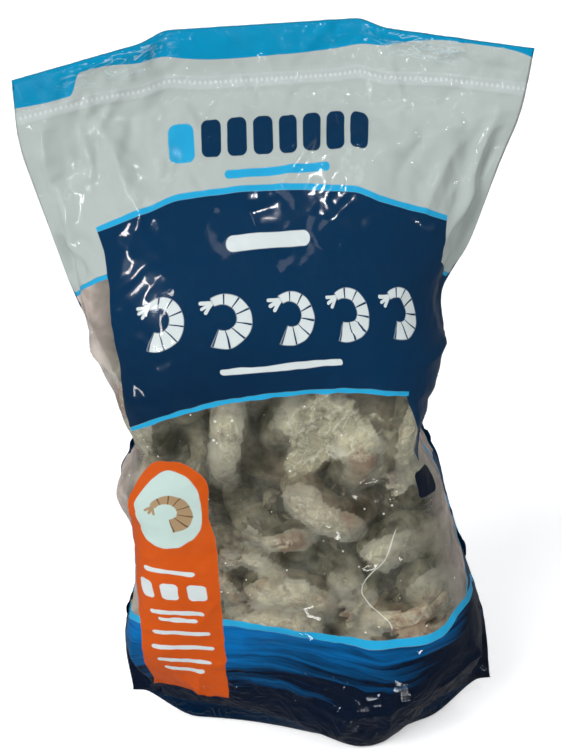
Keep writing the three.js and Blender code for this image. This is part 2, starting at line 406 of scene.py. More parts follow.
# %% Assemble the straight shrimp
def straight_shrimp():
    body = shrimp_body()
    trimmings = shrimp_trimmings()
    is_trim = [False] * len(body.data.vertices) + [True] * sum(len(t.data.vertices) for t in trimmings)
    bpy.ops.object.select_all(action="DESELECT")
    for part in trimmings + [body]:
        part.select_set(True)
    bpy.context.view_layer.objects.active = body
    bpy.ops.object.join()
    p = points_of(body.data)
    along = (p[:, 0] + SHRIMP_LENGTH / 2) / BODY_LENGTH
    high = HEAD_HIGH * np.array([body_taper(min(max(t, 0), 1)) for t in along])
    belly = np.clip(p[:, 1] / high * 0.5 + 0.5, 0, 1)
    skin = np.stack([along / 1.4, belly, np.array(is_trim, float), np.ones(len(p))], axis=1)
    body.data.attributes.new("skin", "FLOAT_COLOR", "POINT").data.foreach_set("color", skin.ravel())
    body.data.transform(Matrix.Scale(MM, 4))
    return body


def finish_modifier(thing, name, kind, **settings):
    """Adds a modifier with its settings and applies it."""
    modifier = thing.modifiers.new(name, kind)
    for key, value in settings.items():
        setattr(modifier, key, value)
    bpy.context.view_layer.objects.active = thing
    bpy.ops.object.modifier_apply(modifier=modifier.name)


frost_lumps = bpy.data.textures.new("frost lumps", "CLOUDS")
frost_lumps.noise_scale = 9 * MM
frost_lumps.noise_depth = 2
shrimp_straight = straight_shrimp()
finish_modifier(shrimp_straight, "smooth shell", "SUBSURF", levels=1, render_levels=1)
finish_modifier(shrimp_straight, "frost", "DISPLACE", texture=frost_lumps, strength=1.5 * MM, mid_level=0.4)
print("one shrimp:", len(shrimp_straight.data.polygons), "faces")

# %% Curl it four ways
CURLS = tuple(math.radians(a) for a in (255, 230, 205, 175))
shrimp_kinds = []
for number, curl in enumerate(CURLS):
    kind = shrimp_straight.copy()
    kind.data = shrimp_straight.data.copy()
    bpy.context.collection.objects.link(kind)
    finish_modifier(kind, "twist", "SIMPLE_DEFORM", deform_method="TWIST", deform_axis="X",
                    angle=(0.0, 0.35, -0.3, 0.2)[number])
    finish_modifier(kind, "curl", "SIMPLE_DEFORM", deform_method="BEND", deform_axis="Z", angle=curl)
    shrimp_kinds.append(kind)
bpy.data.objects.remove(shrimp_straight)
print("curled to", [round(math.degrees(c)) for c in CURLS], "degrees")

# %% [markdown]
# ## Filling the pouch
# Eighty shrimp lie as they fell. A rigid body simulation could drop them, but curled shapes are slow
# for it and snag on each other. Here each shrimp is stood for by seven balls along its curl. The balls
# that touch push each other apart, the film pushes them in, gravity pulls them down, and after each
# round the seven balls of a shrimp are put back into its own shape. A few hundred rounds make a heap
# in which neighbours press into each other by no more than a little frost.

# %% The balls of each kind
BALLS, SHRIMP_COUNT = 7, 80
BALL_SHARE, SMALLEST_BALL = 0.96, 6


def balls_of(curl):
    """Centres and radii of the balls that stand for a shrimp curled by an angle, in mm."""
    t = np.linspace(0.05, 0.95, BALLS)
    radius = SHRIMP_LENGTH / curl
    angle = (t - 0.5) * curl
    centres = np.stack([radius * np.sin(angle), radius * (1 - np.cos(angle)), 0 * t], axis=1)
    sizes = HEAD_HIGH * np.array([body_taper(min(s * SHRIMP_LENGTH / BODY_LENGTH, 1)) for s in t])
    return centres, np.maximum(sizes, SMALLEST_BALL)


kinds = np.arange(SHRIMP_COUNT) % len(CURLS)
ball_sets = [balls_of(curl) for curl in CURLS]
shapes = np.stack([ball_sets[k][0] for k in kinds])
radii = np.stack([ball_sets[k][1] for k in kinds]) * BALL_SHARE
middles = shapes.mean(axis=1)
shapes = shapes - middles[:, None, :]
print("balls of", round(radii.min(), 1), "to", round(radii.max(), 1), "mm")

# %% Start positions: level by level, inside the film
film_mesh = film.data
film_tree = BVHTree.FromPolygons([Vector(p) / MM for p in points_of(film_mesh)],
                                 [tuple(f.vertices) for f in film_mesh.polygons])
PER_LEVEL, LOWEST, HIGHEST = 10, 32, 262
levels = SHRIMP_COUNT // PER_LEVEL
places = []
for level in range(levels):
    height = mix(LOWEST, HIGHEST, level / (levels - 1))
    for slot in range(PER_LEVEL):
        across = (slot % 5 - 2) / 2 * 0.62
        side = -1 if slot < 5 else 1
        reach = station(LEFT if across < 0 else RIGHT, height)
        depth = station(FRONT if side < 0 else BACK, height)
        places.append((across * reach, side * depth * 0.45, height))
places = np.array(places) + rng.uniform(-5, 5, (SHRIMP_COUNT, 3))
quaternions = rng.normal(size=(SHRIMP_COUNT, 4))
quaternions /= np.linalg.norm(quaternions, axis=1)[:, None]


def rotation_of(q):
    w, x, y, z = q.T
    return np.stack([np.stack([1 - 2 * (y * y + z * z), 2 * (x * y - z * w), 2 * (x * z + y * w)], 1),
                     np.stack([2 * (x * y + z * w), 1 - 2 * (x * x + z * z), 2 * (y * z - x * w)], 1),
                     np.stack([2 * (x * z - y * w), 2 * (y * z + x * w), 1 - 2 * (x * x + y * y)], 1)], 1)


turns = rotation_of(quaternions)
print(SHRIMP_COUNT, "shrimp in", levels, "levels")


# %% Settle them
ROUNDS, PUSH_SHARE, FALL, LARGEST_PUSH = 260, 0.3, 0.5, 12
CLEAR_OF_FILM, CLEAR_OF_BASE, BASE_ZONE, FACES_DOWN = -0.5, 3.5, 34, -0.4
CLEAR_OF_LABEL, LABEL_RIGHT, LABEL_TOP = 2.5, -34, 180


def push_apart(balls, sizes, owner):
    away = balls[:, None, :] - balls[None, :, :]
    distance = np.sqrt((away ** 2).sum(axis=2)) + 1e-6
    overlap = sizes[:, None] + sizes[None, :] - distance
    overlap[(overlap < 0) | (owner[:, None] == owner[None, :])] = 0
    return (away * (overlap / distance)[:, :, None] * PUSH_SHARE).sum(axis=1)


def push_inside(balls, sizes):
    move = np.zeros_like(balls)
    for i, ball in enumerate(balls):
        near, normal, _, distance = film_tree.find_nearest(Vector(ball))
        inside = (Vector(ball) - near).dot(normal) < 0
        depth = distance if inside else -distance
        behind_label = ball[0] < LABEL_RIGHT and ball[1] < 0 and ball[2] < LABEL_TOP
        clear = CLEAR_OF_LABEL if behind_label else CLEAR_OF_FILM
        if normal.z < FACES_DOWN or ball[2] < BASE_ZONE:
            clear = CLEAR_OF_BASE
        lack = sizes[i] + clear - depth
        if lack > 0:
            move[i] = -np.array(normal) * min(lack, LARGEST_PUSH)
    return move


# %% Round after round
owner = np.repeat(np.arange(SHRIMP_COUNT), BALLS)
flat_radii = radii.ravel()
for step in range(ROUNDS):
    balls = (np.einsum("nij,nkj->nki", turns, shapes) + places[:, None, :]).reshape(-1, 3)
    move = push_apart(balls, flat_radii, owner)
    move[:, 2] -= FALL * (1 - step / ROUNDS)
    moved = balls + move
    moved = moved + push_inside(moved, flat_radii)
    moved = moved.reshape(SHRIMP_COUNT, BALLS, 3)
    places = moved.mean(axis=1)
    pull = np.einsum("nki,nkj->nij", moved - places[:, None, :], shapes)
    u, _, vt = np.linalg.svd(pull)
    flip = np.sign(np.linalg.det(u @ vt))
    u[:, :, 2] *= flip[:, None]
    turns = u @ vt
left_over = np.abs(push_apart(balls, flat_radii, owner)).max()
print("settled; tallest ball at", round(balls[:, 2].max()), "mm, largest push left", round(left_over, 1))

# %% [markdown]
# ## The shrimp as meshes
# Each kind becomes one piece: every shrimp is a copy of the curled mesh with its own turn and place
# written into its points, and a number of its own, so that no two have quite the same colour.

# %% Copy, place and join
shrimp_pieces = []
for number, kind in enumerate(shrimp_kinds):
    copies = []
    for i in np.flatnonzero(kinds == number):
        one = kind.copy()
        one.data = kind.data.copy()
        bpy.context.collection.objects.link(one)
        place = Matrix.Translation(Vector(places[i]) * MM) @ Matrix(turns[i].tolist()).to_4x4()
        one.data.transform(place @ Matrix.Translation(-Vector(middles[i]) * MM))
        own = one.data.attributes.new("own", "FLOAT", "POINT")
        own.data.foreach_set("value", np.full(len(one.data.vertices), rng.random()))
        copies.append(one)
    bpy.ops.object.select_all(action="DESELECT")
    for one in copies:
        one.select_set(True)
    bpy.context.view_layer.objects.active = copies[0]
    bpy.ops.object.join()
    piece = bpy.context.object
    piece.name = "shrimp_curl_%d" % round(math.degrees(CURLS[number]))
    bpy.ops.object.shade_smooth()
    shrimp_pieces.append(piece)
    print(piece.name, len(copies), "shrimp,", len(piece.data.polygons), "faces")
for kind in shrimp_kinds:
    bpy.data.objects.remove(kind)

# %% [markdown]
# ## Wrinkles
# Film doesn't stretch, so where the pouch takes length out of it, it buckles. That is what a cloth
# simulation is good at: the seals are pinned, the cloth is told to be a little larger than the loft,
# and it folds by itself into the creases that film makes. How far a point may move is capped, so the
# outline stays that of the loft.

# %% Let the film buckle
WRINKLE_CAP, JOLT, FRAMES = 4.5, 0.25, 24
CLOTH = {"quality": 4, "mass": 0.1, "tension_stiffness": 25, "compression_stiffness": 25,
         "shear_stiffness": 12, "bending_stiffness": 0.1,
         "vertex_group_mass": "hold", "vertex_group_shrink": "spare",
         "shrink_min": -0.01, "shrink_max": -0.12, "use_pressure": True, "uniform_pressure_force": 0.2}


def slack_of(flat):
    """How much spare film there is, from 0 to 1: most in the header and along the sides."""
    across, up = sheet_shares(flat)
    header = smoothstep(up, 0.72, 0.9)
    sides = smoothstep(np.abs(across), 0.55, 0.95)
    foot = 1 - smoothstep(up, 0.02, 0.2)
    return np.clip(0.25 + 0.6 * header + 0.75 * sides + 0.5 * foot, 0, 1)


# %% The simulation
def buckle(skin):
    flat = flat_of(skin.data)
    slack = slack_of(flat)
    across, up = sheet_shares(flat)
    before = points_of(skin.data)
    jolt = rng.normal(scale=JOLT * MM, size=len(before))
    pinned = (np.abs(across) > 0.985) | (up > 0.99) | (flat[:, 1] > BASE_FROM)
    jolt[pinned] = 0
    move_to(skin.data, before + normals_of(skin.data) * jolt[:, None])
    hold = skin.vertex_groups.new(name="hold")
    spare = skin.vertex_groups.new(name="spare")
    for i in range(len(before)):
        hold.add([i], 1.0 if pinned[i] else 0.0, "REPLACE")
        spare.add([i], float(slack[i]), "REPLACE")
    cloth = skin.modifiers.new("cloth", "CLOTH")
    for key, value in CLOTH.items():
        setattr(cloth.settings, key, value)
    cloth.settings.effector_weights.gravity = 0
    cloth.collision_settings.use_collision = False
    for number in range(1, FRAMES + 1):
        bpy.context.scene.frame_set(number)
    bpy.context.view_layer.objects.active = skin
    bpy.ops.object.modifier_apply(modifier="cloth")
    bpy.context.scene.frame_set(1)
    move = points_of(skin.data) - before
    length = np.linalg.norm(move, axis=1)
    limit = WRINKLE_CAP * MM * np.tanh(length / (WRINKLE_CAP * MM)) / np.maximum(length, 1e-9)
    move_to(skin.data, before + move * limit[:, None])
    skin.vertex_groups.clear()
    print("cloth moved points by", round(length.mean() / MM, 2), "mm, at most", round(length.max() / MM, 1))


buckle(film)
finish_modifier(film, "fine", "SUBSURF", levels=1, render_levels=1)
print("film:", len(film.data.polygons), "faces")

# %% [markdown]
# ## Folds
# The simulation doesn't know where this pouch was gripped and bent. Its larger folds are placed one by
# one on the flat sheet: each is a straight crest, a tent in section, that rises and dies away. Many
# short creases are then scattered, most of them in the empty header, where film crumples first.

# %% Folds listed on the flat front, in mm: start, end, half width, height
HAND_FOLDS = [
    ((-107, 345), (-112, 300), 9, 3.6), ((-91, 338), (-87, 308), 4, 1.6), ((-86, 344), (-62, 286), 11, 4.2),
    ((-83, 332), (-87, 304), 5, -2.2), ((-66, 338), (-69, 318), 4, -1.6), ((-76, 326), (-70, 292), 6, 2.0),
    ((-80, 359), (-71, 349), 2.5, 1.2), ((-67, 359), (-65, 350), 2.5, 1.2),
    ((36, 301), (116, 337), 17, 4.4),
    ((110, 338), (104, 278), 6, 3.6), ((112, 328), (113, 298), 4, -2.2), ((47, 327), (82, 338), 3, 1.2),
    ((36, 330), (0, 296), 5, 1.5), ((38, 365), (106, 360), 5, 2.4), ((-46, 364), (-104, 362), 5, 2.2),
    ((-107, 312), (-104, 258), 7, 3.0), ((-118, 290), (-84, 262), 5, 2.4),
    ((-116, 236), (-72, 214), 6, 2.4),
    ((-116, 206), (-84, 203), 6, -2.0), ((116, 226), (70, 214), 6, 2.4), ((114, 186), (66, 196), 6, -2.0),
    ((96, 322), (78, 284), 8, 2.4), ((84, 330), (62, 300), 6, -1.8), ((118, 312), (92, 268), 5, 2.6),
    ((66, 318), (20, 306), 7, 1.6), ((-40, 334), (-58, 300), 8, 1.8), ((-20, 300), (-2, 268), 14, 1.8),
    ((14, 2), (30, 46), 6, 4.0), ((44, 4), (40, 50), 5, 2.8), ((-70, 2), (-52, 34), 6, 1.8),
    ((-100, 6), (-82, 60), 6, 2.6), ((104, 6), (82, 52), 6, 3.0), ((74, 4), (66, 40), 5, -2.2),
    ((2, 20), (52, 34), 5, 2.2), ((60, 22), (96, 44), 5, 2.2)]
LOOSE_CREASES = 520
print("folds placed by hand:", len(HAND_FOLDS))


# %% A fold in section, and where the zip and the creases lie
def tent(flat_mm, start, end, width, height):
    """How far a fold lifts each point of the flat sheet."""
    start, end = np.array(start, float), np.array(end, float)
    along = end - start
    length = np.hypot(*along)
    t = ((flat_mm - start) @ along) / length**2
    away = np.abs((flat_mm - start) @ np.array([-along[1], along[0]])) / length / width
    inside = (t > 0) & (t < 1) & (away < 1)
    across_fold = (1 - np.clip(away, 0, 1)) ** 1.3
    along_fold = np.sin(math.pi * np.clip(t, 0, 1)) ** 0.7
    return np.where(inside, height * across_fold * along_fold, 0)


ZIP_MIDDLE, ZIP_RISE, ZIP_RIB_GAP, ZIP_RIB_WIDTH, ZIP_RIB_HEIGHT = 342, 5, 4.4, 1.8, 0.7


def zip_line(across_mm):
    """Where the press-to-close zip runs on the flat sheet: a little higher towards the sides."""
    return ZIP_MIDDLE + ZIP_RISE * smoothstep(np.abs(across_mm), 30, 85)


def crease_density(up):
    """How many creases there are at each height: most at the top, more at the foot than between."""
    header = 0.7 * smoothstep(up, 0.8, 0.9) + 0.6 * smoothstep(up, 0.93, 0.97)
    return 0.08 + header + 0.4 * (1 - smoothstep(up, 0.0, 0.2))


# %% Lift the folds
flat_mm = flat_of(film.data) / MM
lift = np.zeros(len(flat_mm))
shift = np.array([PANEL_PLACE["front"] / MM, 0])
for start, end, width, height in HAND_FOLDS:
    lift += tent(flat_mm, start + shift, end + shift, width, height)
made = 0
while made < LOOSE_CREASES:
    middle = np.array([rng.uniform(-116, 116), rng.uniform(2, 365)])
    if rng.random() > crease_density(middle[1] / MIDDLE_TOP):
        continue
    angle, half = rng.uniform(0, math.pi), rng.uniform(4, 13)
    step = np.array([math.cos(angle), math.sin(angle)]) * half
    middle[0] += PANEL_PLACE["front" if made % 2 else "back"] / MM
    lift += tent(flat_mm, middle - step, middle + step, rng.uniform(1.8, 4.5), rng.normal(0, 0.5))
    made += 1
edge_share, _ = sheet_shares(flat_mm * MM)
for offset in (-ZIP_RIB_GAP / 2, ZIP_RIB_GAP / 2):
    away = np.abs(flat_mm[:, 1] - zip_line(edge_share * HALF_WIDTH) - offset) / ZIP_RIB_WIDTH
    lift += ZIP_RIB_HEIGHT * np.clip(1 - away, 0, 1)
lift *= 1 - smoothstep(np.abs(edge_share), 0.93, 0.99)
lift[flat_mm[:, 1] * MM > BASE_FROM] = 0
lifted = points_of(film.data) + normals_of(film.data) * lift[:, None] * MM
lifted[:, 2] = np.maximum(lifted[:, 2], 0)
move_to(film.data, lifted)
print(len(HAND_FOLDS), "folds and", made, "creases")

# %% In the empty header the two sides lie on each other
PRESSED_FROM, PRESSED_ALL = 285, 318


def press_header(skin):
    """Above the filling the back follows every fold of the front, at the distance of the loft."""
    flat, now = flat_of(skin.data), points_of(skin.data)
    loft = array_of(skin.data.attributes["loft"].data, "vector", 3)
    is_front = flat[:, 0] < BETWEEN_PANELS
    tree = KDTree(int(is_front.sum()))
    for i in np.flatnonzero(is_front):
        tree.insert((flat[i, 0], flat[i, 1], 0), i)
    tree.balance()
    pressed = smoothstep(flat[:, 1] / MM, PRESSED_FROM, PRESSED_ALL)
    followers = np.flatnonzero(~is_front & (pressed > 0) & (flat[:, 1] < BASE_FROM))
    partners = np.array([tree.find((2 * BETWEEN_PANELS - flat[i, 0], flat[i, 1], 0))[1] for i in followers])
    follow = now[partners] + loft[followers] - loft[partners]
    now[followers] = mix(now[followers], follow, pressed[followers][:, None])
    move_to(skin.data, now)
    skin.data.attributes.remove(skin.data.attributes["loft"])
    return len(followers)


print(press_header(film), "points of the back follow the front")

# %% [markdown]
# ## The film meets the shrimp
# Where a shrimp touches the film, the film is tented over it, and between the shrimp it sinks in.
# A ray from outside finds how far each point must stand out, and a membrane is then relaxed over
# those heights, as a soap film would be over a heap of pebbles.

# %% How far the shrimp push each point of the film
SINK = 3.5
REACH_IN, REACH_OUT, GAP, STAND_MOST = 26.0, 9.0, 0.9, 5.0
MEMBRANE_ROUNDS, MEMBRANE_SHARE, FREE_FROM, WIDEST_GAP, TOUCHING_BELOW = 70, 0.9, 0.01, 30, 1.5

heap_points = []
heap_faces = []
for piece in shrimp_pieces:
    start = len(heap_points)
    heap_points.extend(Vector(p) / MM for p in points_of(piece.data))
    heap_faces.extend(tuple(start + v for v in face.vertices) for face in piece.data.polygons)
heap_tree = BVHTree.FromPolygons(heap_points, heap_faces)

skin_points = points_of(film.data) / MM
skin_normals = normals_of(film.data)
flat = flat_of(film.data)
across_of, up_of = sheet_shares(flat)
free = (1 - smoothstep(np.abs(across_of), 0.86, 0.97)) * smoothstep(up_of, 0.03, 0.1)
free = free * (1 - smoothstep(up_of, 0.68, 0.82))
free[flat[:, 1] > BASE_FROM] = 0
stand = np.full(len(skin_points), -REACH_IN)
for i in np.flatnonzero(free > FREE_FROM):
    normal = Vector(skin_normals[i])
    origin = Vector(skin_points[i]) + normal * REACH_OUT
    hit, _, _, distance = heap_tree.ray_cast(origin, -normal, REACH_IN + REACH_OUT)
    if hit is not None:
        stand[i] = REACH_OUT - distance
needed = np.where(free > FREE_FROM, stand + GAP, -REACH_IN)
print("rays met a shrimp at", int((stand > -REACH_IN).sum()), "points of the film")

# %% Relax the film over those heights
pairs = array_of(film.data.edges, "vertices", 2, int)
neighbours = np.bincount(pairs.ravel(), minlength=len(skin_points))
sink = SINK * free * (1 - smoothstep(np.abs(across_of), 0.55, 0.8))
height = np.where(free > FREE_FROM, np.maximum(-sink, np.minimum(needed, STAND_MOST)), 0)
for _ in range(MEMBRANE_ROUNDS):
    total = np.bincount(pairs[:, 0], weights=height[pairs[:, 1]], minlength=len(height))
    total += np.bincount(pairs[:, 1], weights=height[pairs[:, 0]], minlength=len(height))
    height = mix(height, total / neighbours, MEMBRANE_SHARE)
    height = np.maximum(height, np.minimum(needed, STAND_MOST))
    height = np.where(free > FREE_FROM, np.maximum(height, -sink), 0)
gap = np.clip(height - stand, 0, WIDEST_GAP)
draped = (skin_points + skin_normals * height[:, None]) * MM
draped[:, 2] = np.maximum(draped[:, 2], 0)
move_to(film.data, draped)
film.data.attributes.new("gap", "FLOAT", "POINT").data.foreach_set("value", gap)
touching = (gap < TOUCHING_BELOW).mean()
print("film stands out by up to", round(height.max(), 1), "mm; touches on", round(touching * 100), "%")

# %% The printed layer lies just inside the clear outer web
INK_DEPTH = 0.25
for face in film.data.polygons:
    face.use_smooth = True
ink = film.copy()
ink.data = film.data.copy()
ink.name = "printed_layer"
bpy.context.collection.objects.link(ink)
inner = points_of(ink.data) - normals_of(ink.data) * INK_DEPTH * MM
move_to(ink.data, inner)
film.name = "clear_film"
print("two webs,", INK_DEPTH, "mm apart")

# %% [markdown]
# ## Building materials from sums
# A material is a graph, and a graph in code is clearer as sums. A Wire is one output of a node, and
# each sum on it adds a Math node: `x * 2` in the text becomes a Multiply node in the material. Masks
# that several finishes share are node groups, which put out only numbers and colours.

# %% Adding a node, and joining its sockets
FLOAT, VECTOR, COLOR = "NodeSocketFloat", "NodeSocketVector", "NodeSocketColor"


def plug(socket, value):
    """Joins a wire to a socket, or writes a constant on it."""
    if isinstance(value, Wire):
        value.tree.links.new(value.socket, socket)
    else:
        socket.default_value = value


def tree_of(values):
    return next(value.tree for value in values if isinstance(value, Wire))


def add_node(tree, kind, output=0, **sockets):
    """A shader node with named sockets set or joined. Gives back one of its outputs."""
    node = tree.nodes.new("ShaderNode" + kind)
    for name, value in sockets.items():
        plug(node.inputs[name], value)
    return Wire(tree, node.outputs[output])


def calc(operation, *values, clamp=False):
    """One Math node."""
    tree = tree_of(values)
    node = tree.nodes.new("ShaderNodeMath")
    node.operation = operation
    node.use_clamp = clamp
    for socket, value in zip(node.inputs, values):
        plug(socket, value)
    return Wire(tree, node.outputs[0])


def vector_calc(operation, *values):
    """One Vector Math node. LENGTH gives a number, the others a vector."""
    tree = tree_of(values)
    node = tree.nodes.new("ShaderNodeVectorMath")
    node.operation = operation
    sockets = (node.inputs[0], node.inputs["Scale"]) if operation == "SCALE" else node.inputs
    for socket, value in zip(sockets, values):
        plug(socket, value)
    return Wire(tree, node.outputs["Value" if operation == "LENGTH" else "Vector"])


# %% A wire, with the signs of sums
class Wire:
    """One output of a node. A sum written with it becomes a Math node."""

    def __init__(self, tree, socket):
        self.tree = tree
        self.socket = socket

    def __add__(self, other):
        return calc("ADD", self, other)

    def __sub__(self, other):
        return calc("SUBTRACT", self, other)

    def __rsub__(self, other):
        return calc("SUBTRACT", other, self)

    def __mul__(self, other):
        return calc("MULTIPLY", self, other)

    def __truediv__(self, other):
        return calc("DIVIDE", self, other)

    def __pow__(self, other):
        return calc("POWER", self, other)

    def __gt__(self, other):
        return calc("GREATER_THAN", self, other)

    def __lt__(self, other):
        return calc("LESS_THAN", self, other)

    def __abs__(self):
        return calc("ABSOLUTE", self)

    def line(self, slope, start, clamp=False):
        """slope times the value, plus start, in one node."""
        return calc("MULTIPLY_ADD", self, slope, start, clamp=clamp)

    def above(self, least):
        """How far the value is above a least value, and 0 below it."""
        return calc("MAXIMUM", self - least, 0.0)

    def below(self, most):
        """How far the value is below a most value, and 0 above it."""
        return calc("MAXIMUM", most - self, 0.0)

    def between(self, low, high):
        """1 between two values, with soft edges."""
        return edge(self - low) * edge(high - self)


# %% Masks, colours and patterns
def edge(value, soft=0.3):
    """1 where value is above 0, with a soft edge as wide as soft."""
    return value.line(1 / soft, 0.5, clamp=True)


def either(*masks):
    result = masks[0]
    for mask in masks[1:]:
        result = calc("MAXIMUM", result, mask)
    return result


def paint(below, above, mask):
    """Lays the colour above over the colour below where the mask is 1."""
    node = mask.tree.nodes.new("ShaderNodeMix")
    node.data_type = "RGBA"
    plug(node.inputs[0], mask)
    plug(node.inputs[6], below)
    plug(node.inputs[7], above)
    return Wire(mask.tree, node.outputs[2])


def colour(red, green, blue):
    """A colour as a screen shows it, 0 to 255, made linear."""
    shares = [c / 255 for c in (red, green, blue)]
    linear = [s / 12.92 if s <= 10 / 255 else ((s + 0.055) / 1.055) ** 2.4 for s in shares]
    return (*linear, 1.0)


print("half grey in linear light:", [round(c, 3) for c in colour(128, 128, 128)])


# %% Patterns, attributes and vectors
def noise(vector, scale, detail=2.0, roughness=0.5, distortion=0.0):
    return add_node(vector.tree, "TexNoise", "Fac", Vector=vector, Scale=scale, Detail=detail,
                    Roughness=roughness, Distortion=distortion)


def attribute(tree, name, output="Fac"):
    made = add_node(tree, "Attribute", output)
    made.socket.node.attribute_name = name
    return made


def split(vector, kind="SeparateXYZ"):
    """The three numbers of a vector or colour."""
    first = add_node(vector.tree, kind)
    node = first.socket.node
    plug(node.inputs[0], vector)
    return [Wire(vector.tree, output) for output in node.outputs]


def point_at(x, y):
    return add_node(x.tree, "CombineXYZ", X=x, Y=y)


def stretched(vector, factors):
    return vector_calc("MULTIPLY", vector, factors)


# %% Node groups from a function that draws them
def new_group(name, inputs, outputs, build):
    """inputs: {name: (type, default)}, outputs: {name: type}. build takes wires and gives a dict."""
    tree = bpy.data.node_groups.new(name, "ShaderNodeTree")
    for key, (kind, default) in inputs.items():
        socket = tree.interface.new_socket(key, in_out="INPUT", socket_type=kind)
        if default is not None:
            socket.default_value = default
    for key, kind in outputs.items():
        tree.interface.new_socket(key, in_out="OUTPUT", socket_type=kind)
    given = tree.nodes.new("NodeGroupInput")
    result = tree.nodes.new("NodeGroupOutput")
    made = build(**{key.lower(): Wire(tree, given.outputs[key]) for key in inputs})
    for key, value in made.items():
        plug(result.inputs[key], value)
    print(name + ":", len(tree.nodes), "nodes")
    return tree


def use_group(group, **values):
    """Puts a group into a graph, and gives back its outputs by name."""
    tree = tree_of(values.values())
    node = tree.nodes.new("ShaderNodeGroup")
    node.node_tree = group
    for key, value in values.items():
        plug(node.inputs[key], value)
    return {output.name: Wire(tree, output) for output in node.outputs}


# %% [markdown]
# ## The flat sheet and its outlines
# The print is thought of on the flat film, in mm from the middle of the foot of a panel. Its outlines
# are read off as pairs of numbers, and a curve runs through them.

# %% The flat point, and outlines on it
def flat_point(tree, panel_place):
    """Point on the flat panel, in mm."""
    uv = add_node(tree, "UVMap")
    uv.socket.node.uv_map = "flat"
    return add_node(tree, "Mapping", Vector=uv, Location=(-panel_place / MM, 0, 0),
                    Scale=(1 / MM, 1 / MM, 1))


def curve(value, points, bottom, top):
    """An outline through (value, result) pairs. The results lie from bottom to top."""
    low, high = points[0][0], points[-1][0]
    share = value.line(1 / (high - low), -low / (high - low), clamp=True)
    made = add_node(value.tree, "FloatCurve", Value=share)
    mapping = made.socket.node.mapping
    line = mapping.curves[0]
    while len(line.points) < len(points):
        line.points.new(0.5, 0.5)
    for point, (x, y) in zip(line.points, points):
        point.location = (x - low) / (high - low), (y - bottom) / (top - bottom)
    mapping.update()
    return made.line(top - bottom, bottom)


# %% [markdown]
# ## Shapes for the print
# The print is flat colour: fields, rounded bars where words would be, and small shrimp figures. Each
# shape is a distance sum, so its edge stays sharp at any size, unlike an image.

# %% A rounded bar
def local_point(point, centre, turn):
    """The point as seen from a centre, turned by an angle."""
    rotated = add_node(point.tree, "VectorRotate", Vector=vector_calc("SUBTRACT", point, centre),
                       Angle=turn * -1.0)
    rotated.socket.node.rotation_type = "Z_AXIS"
    return rotated


def build_bar(point, centre, half, corner, turn):
    near = local_point(point, centre, turn)
    inner = vector_calc("SUBTRACT", half, point_at(corner, corner))
    past = vector_calc("SUBTRACT", vector_calc("ABSOLUTE", near), inner)
    away = vector_calc("LENGTH", vector_calc("MAXIMUM", past, (0, 0, 0)))
    return {"Mask": edge(corner - away)}


bar_group = new_group(
    "rounded bar",
    {"Point": (VECTOR, None), "Centre": (VECTOR, (0, 0, 0)), "Half": (VECTOR, (10, 2, 0)),
     "Corner": (FLOAT, 1.0), "Turn": (FLOAT, 0.0)},
    {"Mask": FLOAT}, build_bar)


def bar(point, centre, half, corner=None, angle=0.0):
    return use_group(bar_group, Point=point, Centre=(*centre, 0), Half=(*half, 0),
                     Corner=min(half) if corner is None else corner, Turn=angle)["Mask"]


def oval(point, centre, radii, soft=0.02):
    x, y = split(point)[:2]
    dx = x.line(1 / radii[0], -centre[0] / radii[0])
    dy = y.line(1 / radii[1], -centre[1] / radii[1])
    return edge(1.0 - calc("SQRT", dx * dx + dy * dy), soft)


# %% A little shrimp figure: a curl of plates that narrows to a fan
CURL_START, CURL_SPAN = -2.3, 4.1            # of the figure's body, in radians
CURL_RADIUS, HALF_THICK, NARROWS_BY, BANDS = 0.66, 0.34, 0.2, 7.0
FAN_OUT, FAN_LEANS, LEAF_LONG, LEAF_WIDE = 0.22, (-0.5, 0.0, 0.5), 0.24, 0.075


def build_figure(point, centre, size, turn):
    x, y = split(local_point(point, centre, turn))[:2]
    x, y = x / size, y / size
    radius = calc("SQRT", x * x + y * y)
    along = calc("ARCTAN2", y, x).line(1 / CURL_SPAN, -CURL_START / CURL_SPAN)
    inside = edge(along.line(-NARROWS_BY, HALF_THICK) - abs(radius - CURL_RADIUS), 0.04)
    body = inside * edge(along, 0.02) * edge(1.0 - along, 0.02)
    lines = edge(0.13 - calc("FRACT", along * BANDS), 0.05) * body
    end = CURL_START + CURL_SPAN
    leaves = []
    for lean in FAN_LEANS:
        heading = end + 1.57 + lean
        root = (CURL_RADIUS * math.cos(end) + FAN_OUT * math.cos(heading),
                CURL_RADIUS * math.sin(end) + FAN_OUT * math.sin(heading))
        leaves.append(bar(point_at(x, y), root, (LEAF_LONG, LEAF_WIDE), LEAF_WIDE, heading))
    return {"Body": either(body, either(*leaves) > 0.55), "Lines": lines}


figure_group = new_group(
    "shrimp figure",
    {"Point": (VECTOR, None), "Centre": (VECTOR, (0, 0, 0)), "Size": (FLOAT, 10.0), "Turn": (FLOAT, 0.0)},
    {"Body": FLOAT, "Lines": FLOAT}, build_figure)


def figure(point, centre, size, angle, body_ink, line_ink, where=1.0):
    """The inks of one figure: its body, and the lines between its plates."""
    made = use_group(figure_group, Point=point, Centre=(*centre, 0), Size=size, Turn=angle)
    return [(made["Body"] * where, body_ink), (made["Lines"] * where, line_ink)]


def repeated(point, start, step, count):
    """Folds a row of equal cells onto the cell round x = 0: its mask, and the folded point."""
    x, y = split(point)[:2]
    cell = x.line(1 / step, 0.5 - start / step)
    inside = (cell > 0.0) * (cell < float(count))
    return inside, point_at(calc("FRACT", cell).line(step, -step / 2), y)


